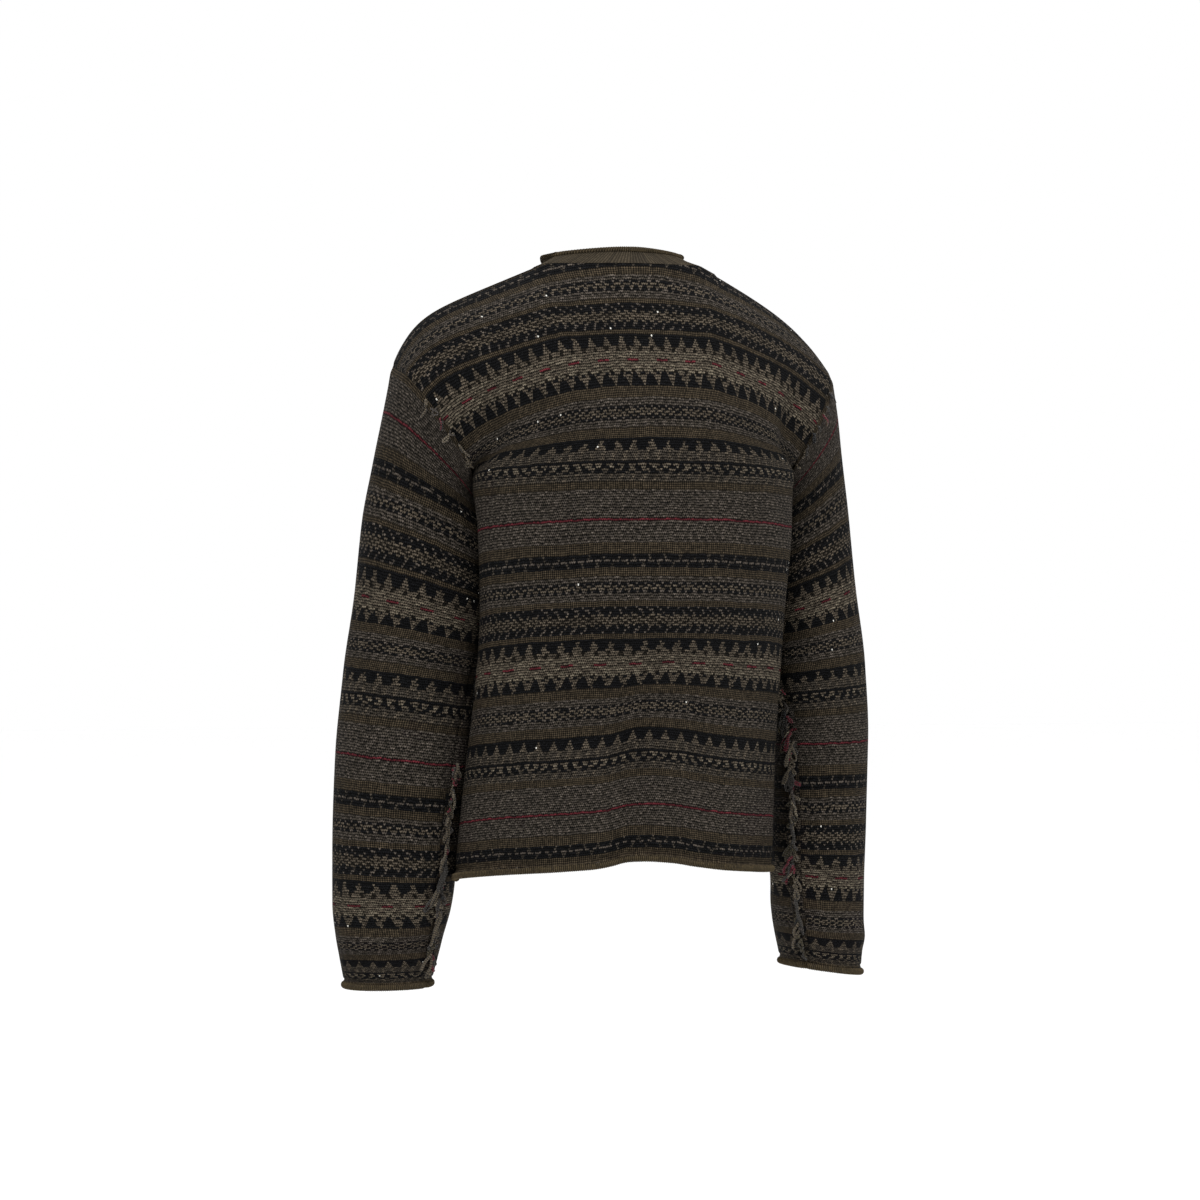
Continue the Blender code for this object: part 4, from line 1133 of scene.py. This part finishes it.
# One repeat of the bands, downwards. Each line: rows, ground, motif, stitches from one motif to the next,
# share of them the motif takes in the first and the last row, shift from row to row (none: scattered),
# and the stitches a float spans
bandChart = (
    (3, "ink", "mauve", 5, 0.20, 0.20, None, 2),
    (1, "ink", "tan", 4, 0.50, 0.50, 0, 2),
    (3, "tan", "brown", 4, 0.34, 0.34, 2, 2),
    (1, "ink", "tan", 4, 0.50, 0.50, 0, 2),
    (3, "ink", "mauve", 5, 0.20, 0.20, None, 2),
    (2, "olive", "brown", 2, 0.50, 0.50, 1, 1),
    (1, "ink", "ink", 8, 0.50, 0.50, 0, 2),
    (4, "ink", "tan", 8, 0.18, 0.52, 0, 2),
    (2, "tan", "brown", 6, 0.30, 0.30, None, 3),
    (3, "tan", "cream", 7, 0.40, 0.40, None, 3),
    (1, "tan", "red", 16, 0.38, 0.38, 0, 6),
    (3, "tan", "cream", 7, 0.40, 0.40, None, 3),
    (1, "cream", "brown", 6, 0.25, 0.25, 0, 4),
    (1, "ink", "tan", 4, 0.50, 0.50, 0, 2),
    (4, "ink", "tan", 8, 0.56, 0.16, 0, 2),
    (4, "olive", "brown", 2, 0.50, 0.50, 1, 1),
    (3, "grey", "mauve", 5, 0.45, 0.45, None, 2),
    (1, "ink", "mauve", 4, 0.36, 0.36, 0, 2),
    (3, "tan", "ink", 4, 0.34, 0.34, 2, 2),
    (1, "ink", "mauve", 4, 0.36, 0.36, 0, 2),
    (3, "grey", "mauve", 5, 0.45, 0.45, None, 2),
    (4, "olive", "brown", 2, 0.50, 0.50, 1, 1),
    (1, "ink", "ink", 8, 0.50, 0.50, 0, 2),
    (4, "ink", "tan", 8, 0.13, 0.52, 0, 2),
    (4, "grey", "tan", 5, 0.30, 0.30, None, 2),
    (1, "ink", "ink", 8, 0.50, 0.50, 0, 3),
    (1, "tan", "ink", 5, 0.30, 0.30, None, 3),
    (1, "ink", "cream", 5, 0.42, 0.42, None, 2),
    (1, "tan", "ink", 6, 0.50, 0.50, None, 3),
    (1, "ink", "grey", 5, 0.40, 0.40, None, 3),
    (3, "grey", "tan", 5, 0.30, 0.30, None, 2),
    (3, "olive", "brown", 2, 0.50, 0.50, 1, 1),
    (11, "grey", "mauve", 4, 0.45, 0.45, None, 2),
    (1, "red", "red", 4, 0.50, 0.50, 0, 4),
    (8, "grey", "mauve", 4, 0.45, 0.45, None, 2),
    (4, "olive", "brown", 2, 0.50, 0.50, 1, 1),
    (2, "ink", "grey", 7, 0.16, 0.16, None, 2),
    (1, "mauve", "ink", 4, 0.30, 0.30, 0, 3),
    (2, "ink", "grey", 7, 0.16, 0.16, None, 2),
    (3, "olive", "brown", 2, 0.50, 0.50, 1, 1),
    (2, "grey", "mauve", 5, 0.45, 0.45, None, 2),
    (1, "ink", "mauve", 4, 0.36, 0.36, 0, 2),
    (2, "tan", "ink", 4, 0.34, 0.34, 2, 2),
    (1, "ink", "mauve", 4, 0.36, 0.36, 0, 2),
    (3, "grey", "mauve", 5, 0.45, 0.45, None, 2),
    (2, "olive", "brown", 2, 0.50, 0.50, 1, 1),
)
chartLength = 115
toneScale = 8            # colours, spans and pitches are divided by these to pass through a ramp
pitchScale = 32
halfTone = 0.5 / toneScale
rowsPerLine = 150 / chartLength      # counted rows of the tables in one line of the chart
rampRows = 23


def chartRows():
    shapes = []
    inks = []
    dice = np.random.RandomState(5)
    for count, ground, motif, pitch, first, last, shift, span in bandChart:
        for k in range(count):
            share = first + (last - first) * k / max(1, count - 1)
            start = dice.randint(0, pitch) if shift is None else k * shift % pitch
            shapes.append((share, pitch / pitchScale, start / pitchScale, span / toneScale))
            under, over = (colourNames.index(name) / toneScale for name in (ground, motif))
            inks.append((under, over, 0.0, 1.0))
    assert len(shapes) == chartLength, len(shapes)
    return shapes, inks


def lookUp(finish, index, table):
    found = None
    for k in range(0, chartLength, rampRows):
        stops = [(i / rampRows, table[k + i]) for i in range(rampRows)]
        colour, alpha = finish.ramp((index - k + 0.5) / rampRows, stops)
        if found is None:
            found = (colour, alpha)
        else:
            later = index > k - 0.5
            found = (finish.mixed(later, found[0], colour), finish.chosen(later, found[1], alpha))
    return found


bandLook = dict(
    thin=1.9,               # how thin the lit line of each row is
    stitchDip=0.55,
    floatDip=0.60,
    ragged=0.75,             # how many stitches a motif's edge strays from row to row
    arc=0.34,               # how far each purl bump bows within its row
    # dark and bright: painted shade in the gaps between rows and painted light on the raised yarn, a floor
    # and a gain on the yarn's height
    dark=0.06,
    bright=1.75,
    relief=0.0008,
    hatchAcross=0.50,       # lines of the fine crosshatch in a stitch and in a row
    hatchDown=0.62,
    # shade: how much the whole material is darkened as painted shade
    shade=1.0,
)


def bandedKnit(name, **changes):
    look = dict(bandLook, **changes)
    f = Finish(name, **{"Specular IOR Level": 0.05, "Sheen Weight": 0.0})
    knit = f.wire(f.add("ShaderNodeAttribute", {"attribute_name": "knit"}), "Vector")
    across, down, piece = f.parts(knit)
    down = down / rowsPerLine
    wander = f.cloud(across * 0.05, down * 0.04, piece, 1.0)
    ripple = f.cloud(across * 0.30, down * 0.15, piece + 2.0, 1.0)
    down = down + (wander - 0.5) * 1.1 + (ripple - 0.5) * 0.7
    row = down.floor()
    v = down - row
    index = row % float(chartLength)
    shapes, inks = chartRows()
    shape, span = lookUp(f, index, shapes)
    tone, _ = lookUp(f, index, inks)
    node = f.add("ShaderNodeSeparateColor", None, {0: shape})
    share, pitch, phase = (f.wire(node, k) for k in range(3))
    node = f.add("ShaderNodeSeparateColor", None, {0: tone})
    ground, motif = f.wire(node, 0), f.wire(node, 1)
    half = (row % 2.0) * 0.5
    cell = (across + half).floor()
    u = across + half - cell
    centre = cell - half + 0.5
    pitch = pitch * pitchScale
    turn = (centre + phase * pitchScale) / pitch
    turn = turn - turn.floor()
    ragged = (f.speckle(cell, row, piece + 5.0) - 0.5) * look["ragged"] / pitch
    inMotif = abs(turn - 0.5) < share * 0.5 + ragged
    palette = [(k / toneScale, linear(*yarnColours[n])) for k, n in enumerate(colourNames)]
    groundColour, _ = f.ramp(ground + halfTone, palette)
    motifColour, _ = f.ramp(motif + halfTone, palette)
    colour = f.mixed(inMotif, groundColour, motifColour)
    spanned = span * toneScale
    along = (across + f.speckle(row, piece, 3.0) * spanned) / spanned
    floatCell = along.floor()
    w = along - floatCell
    dice = f.speckle(floatCell, row, piece)
    grain = f.speckle(cell, row, piece + 7.0)
    cloud = f.cloud(across * 0.03, down * 0.03, piece + 3.0, 1.0, 3.0)
    level = v + (dice - 0.5) * 0.22 + (grain - 0.5) * 0.30 + (abs(u - 0.5) * 2.0 - 0.5) * look["arc"]
    yarn = (1.0 - (level * 2.0 - 1.0) ** 2.0).clamped() ** look["thin"]
    stitch = 1.0 - (u * 2.0 - 1.0) ** 4.0 * look["stitchDip"]
    long = 1.0 - (w * 2.0 - 1.0) ** 6.0 * look["floatDip"]
    hatch = (across * look["hatchAcross"] + down * look["hatchDown"]).wave()
    hatch = hatch * (across * look["hatchAcross"] - down * look["hatchDown"]).wave() * 0.5 + 0.5
    isTwill = span < 1.5 / toneScale
    height = f.chosen(isTwill, yarn * stitch * long, hatch * 0.9)
    twill = f.mixed(hatch, linear(*yarnColours["brown"]), linear(*yarnColours["olive"]))
    colour = f.mixed(isTwill, colour, twill)
    # Painted light and shade: darker in the gaps between rows, stitches and floats, lighter on the raised
    # yarn, scaled by the look's shade; times random tone per float, per stitch and in broad patches
    light = look["shade"] * (look["dark"] + height * look["bright"])
    light = light * (0.70 + dice * 0.60) * (0.60 + grain * 0.74) * (0.86 + cloud * 0.28)
    fleck = (grain > 0.9984) * (ground < halfTone) * (abs(u - 0.5) < 0.32) * (abs(v - 0.5) < 0.36)
    colour = f.shade(colour, light)
    colour = f.mixed(fleck, colour, linear(190, 188, 180))
    return f.finish(colour, height, look["relief"], 0.86 + grain * 0.08)


bodyKnit = bandedKnit("BodyKnit")
sleeveKnit = bandedKnit("SleeveKnit")
# the seam curls take the knit darkened to 0.55 as painted shade
curlShadedKnit = bandedKnit("CurlShadedKnit", shade=0.55)


def ribKnit():
    f = Finish("RibKnit", **{"Specular IOR Level": 0.05, "Sheen Weight": 0.0})
    knit = f.wire(f.add("ShaderNodeAttribute", {"attribute_name": "knit"}), "Vector")
    along, up, piece = f.parts(knit)
    rib = along.wave() * 0.5 + 0.5
    row = up.floor()
    v = up - row
    dice = f.speckle((along + 0.5).floor(), row, piece)
    broad = f.speckle((along + 0.5).floor(), piece, 0.0)
    height = rib * (1.0 - (v * 2.0 - 1.0) ** 2.0 * 0.5)
    colour = f.mixed(broad, linear(64, 57, 46), linear(47, 42, 35))
    # Painted shade: darker in the grooves between the ribs and between rows; times random tone per stitch
    colour = f.shade(colour, (0.45 + height * 0.75) * (0.82 + dice * 0.36))
    return f.finish(colour, height, 0.0006, 0.88 + dice * 0.06)


def rolledKnit():
    f = Finish("RolledKnit", **{"Specular IOR Level": 0.05, "Sheen Weight": 0.0})
    knit = f.wire(f.add("ShaderNodeAttribute", {"attribute_name": "knit"}), "Vector")
    along, around, piece = f.parts(knit)
    rib = along.wave() * 0.5 + 0.5
    row = around.floor()
    v = around - row
    dice = f.speckle((along + 0.5).floor(), row, piece)
    broad = f.cloud(along * 0.06, around * 0.2, piece, 1.0)
    height = rib * (1.0 - (v * 2.0 - 1.0) ** 2.0 * 0.4)
    colour = f.mixed(dice, linear(72, 62, 43), linear(48, 42, 30))
    colour = f.mixed(broad * 0.35, colour, linear(64, 57, 52))
    # Painted shade: darker in the grooves between the roll's ridges and rows; times random tone in broad
    # patches
    colour = f.shade(colour, (0.30 + height * 0.95) * (0.8 + broad * 0.4))
    return f.finish(colour, height, 0.0005, 0.88 + dice * 0.06)


looseColours = dict(
    tan=(80, 71, 57),
    cream=(98, 89, 74),
    grey=(46, 43, 39),
    mauve=(58, 52, 47),
    red=(80, 22, 30),
    olive=(56, 50, 35),
    ink=(18, 18, 20),
    brown=(36, 31, 23),
)


def looseYarn():
    f = Finish("LooseYarn", **{"Specular IOR Level": 0.15, "Sheen Weight": 0.1, "Sheen Roughness": 0.5})
    knit = f.wire(f.add("ShaderNodeAttribute", {"attribute_name": "knit"}), "Vector")
    along, tone, piece = f.parts(knit)
    stops = [(k / toneScale, linear(*looseColours[n])) for k, n in enumerate(tones)]
    colour, _ = f.ramp(tone / toneScale + halfTone, stops)
    grain = f.cloud(along * 2.0, tone, piece, 6.0)
    ply = (along * 2.0 + grain * 0.3).wave() * 0.5 + 0.5
    # Painted shade: darker in the groove between the two plies as they turn; times random tone along the
    # yarn
    colour = f.shade(colour, (0.22 + ply * 0.95) * (0.5 + grain * 1.0))
    return f.finish(colour, grain, 0.0003, 0.85 + grain * 0.1)


finishes = {
    "body_knit": bodyKnit,
    "sleeve_knit": sleeveKnit,
    "rib_knit": ribKnit(),
    "rolled_edge": rolledKnit(),
    "loose_yarn": looseYarn(),
}
print("finishes made")

# what each piece stands for and what it takes its finish from
pieces = [
    (cloths["back"][0], "back_panel", "body_knit"),
    (cloths["front"][0], "front_panel", "body_knit"),
    (cloths[1][0], "left_sleeve", "sleeve_knit"),
    (cloths[-1][0], "right_sleeve", "sleeve_knit"),
    (neckRib, "neck_rib", "rib_knit"),
    (neckRoll, "neck_roll", "rolled_edge"),
    (hemRoll, "hem_roll", "rolled_edge"),
    (cuffs[1], "left_cuff_roll", "rolled_edge"),
    (cuffs[-1], "right_cuff_roll", "rolled_edge"),
    (yarns["LeftArmhole"], "left_armhole_fringe", "loose_yarn"),
    (yarns["RightArmhole"], "right_armhole_fringe", "loose_yarn"),
    (yarns["LeftSleeve"], "left_sleeve_fringe", "loose_yarn"),
    (yarns["RightSleeve"], "right_sleeve_fringe", "loose_yarn"),
]
pieces += [(curl, "left_sleeve_fringe", "loose_yarn") for curl in curls[1]]
pieces += [(curl, "right_sleeve_fringe", "loose_yarn") for curl in curls[-1]]
for piece, node, finish in pieces:
    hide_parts(node)
    piece.data.materials.append(curlShadedKnit if "Curl" in piece.name else finishes[finish])
    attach(piece, "root")

# floor, light and camera
bpy.ops.mesh.primitive_plane_add(size=60, location=(0, 0, -1.45))
floor = bpy.context.object
floor.name = "Floor"
floor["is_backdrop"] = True
pale = bpy.data.materials.new("PaleFloor")
pale.use_nodes = True
pale.node_tree.nodes["Principled BSDF"].inputs["Base Color"].default_value = (1, 1, 1, 1)
pale.node_tree.nodes["Principled BSDF"].inputs["Roughness"].default_value = 1.0
floor.data.materials.append(pale)
bpy.context.scene.view_settings.view_transform = "Standard"


def lamp(name, spot, aim, size, power):
    data = bpy.data.lights.new(name, "AREA")
    data.shape = "DISK"
    data.size = size
    data.energy = power
    made = bpy.data.objects.new(name, data)
    bpy.context.scene.collection.objects.link(made)
    made.location = spot
    made.rotation_mode = "QUATERNION"
    made.rotation_quaternion = (Vector(aim) - Vector(spot)).to_track_quat("-Z", "Y")
    return made


lamp("KeyLamp", (0.8, 1.9, 3.1), (0, 0.1, -0.15), 1.5, 172)
lamp("FillLamp", (-2.4, 1.8, 1.6), (0, 0.1, -0.3), 2.0, 45)
lamp("RimLamp", (0.5, -2.4, 1.6), (0, 0.1, -0.4), 2.0, 40)
world = bpy.data.worlds.new("Studio")
bpy.context.scene.world = world
world.use_nodes = True
world.node_tree.nodes["Background"].inputs["Color"].default_value = (1, 1, 1, 1)
world.node_tree.nodes["Background"].inputs["Strength"].default_value = 1.0

view = dict(azimuth=168, away=4.30, aside=-0.016, height=-0.354, pixelsPerMetre=940, picture=1200)
back = Vector((math.sin(math.radians(view["azimuth"])), -math.cos(math.radians(view["azimuth"])), 0))
right = Vector((math.cos(math.radians(view["azimuth"])), math.sin(math.radians(view["azimuth"])), 0))
camera = bpy.data.cameras.new("Camera")
camera.sensor_width = 36
camera.lens = 36 * view["pixelsPerMetre"] * view["away"] / view["picture"]
cameraObject = bpy.data.objects.new("Camera", camera)
bpy.context.scene.collection.objects.link(cameraObject)
cameraObject.location = right * view["aside"] + Vector((0, 0, view["height"])) + back * view["away"]
cameraObject.rotation_mode = "QUATERNION"
cameraObject.rotation_quaternion = (-back).to_track_quat("-Z", "Y")
bpy.context.scene.camera = cameraObject

low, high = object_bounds()
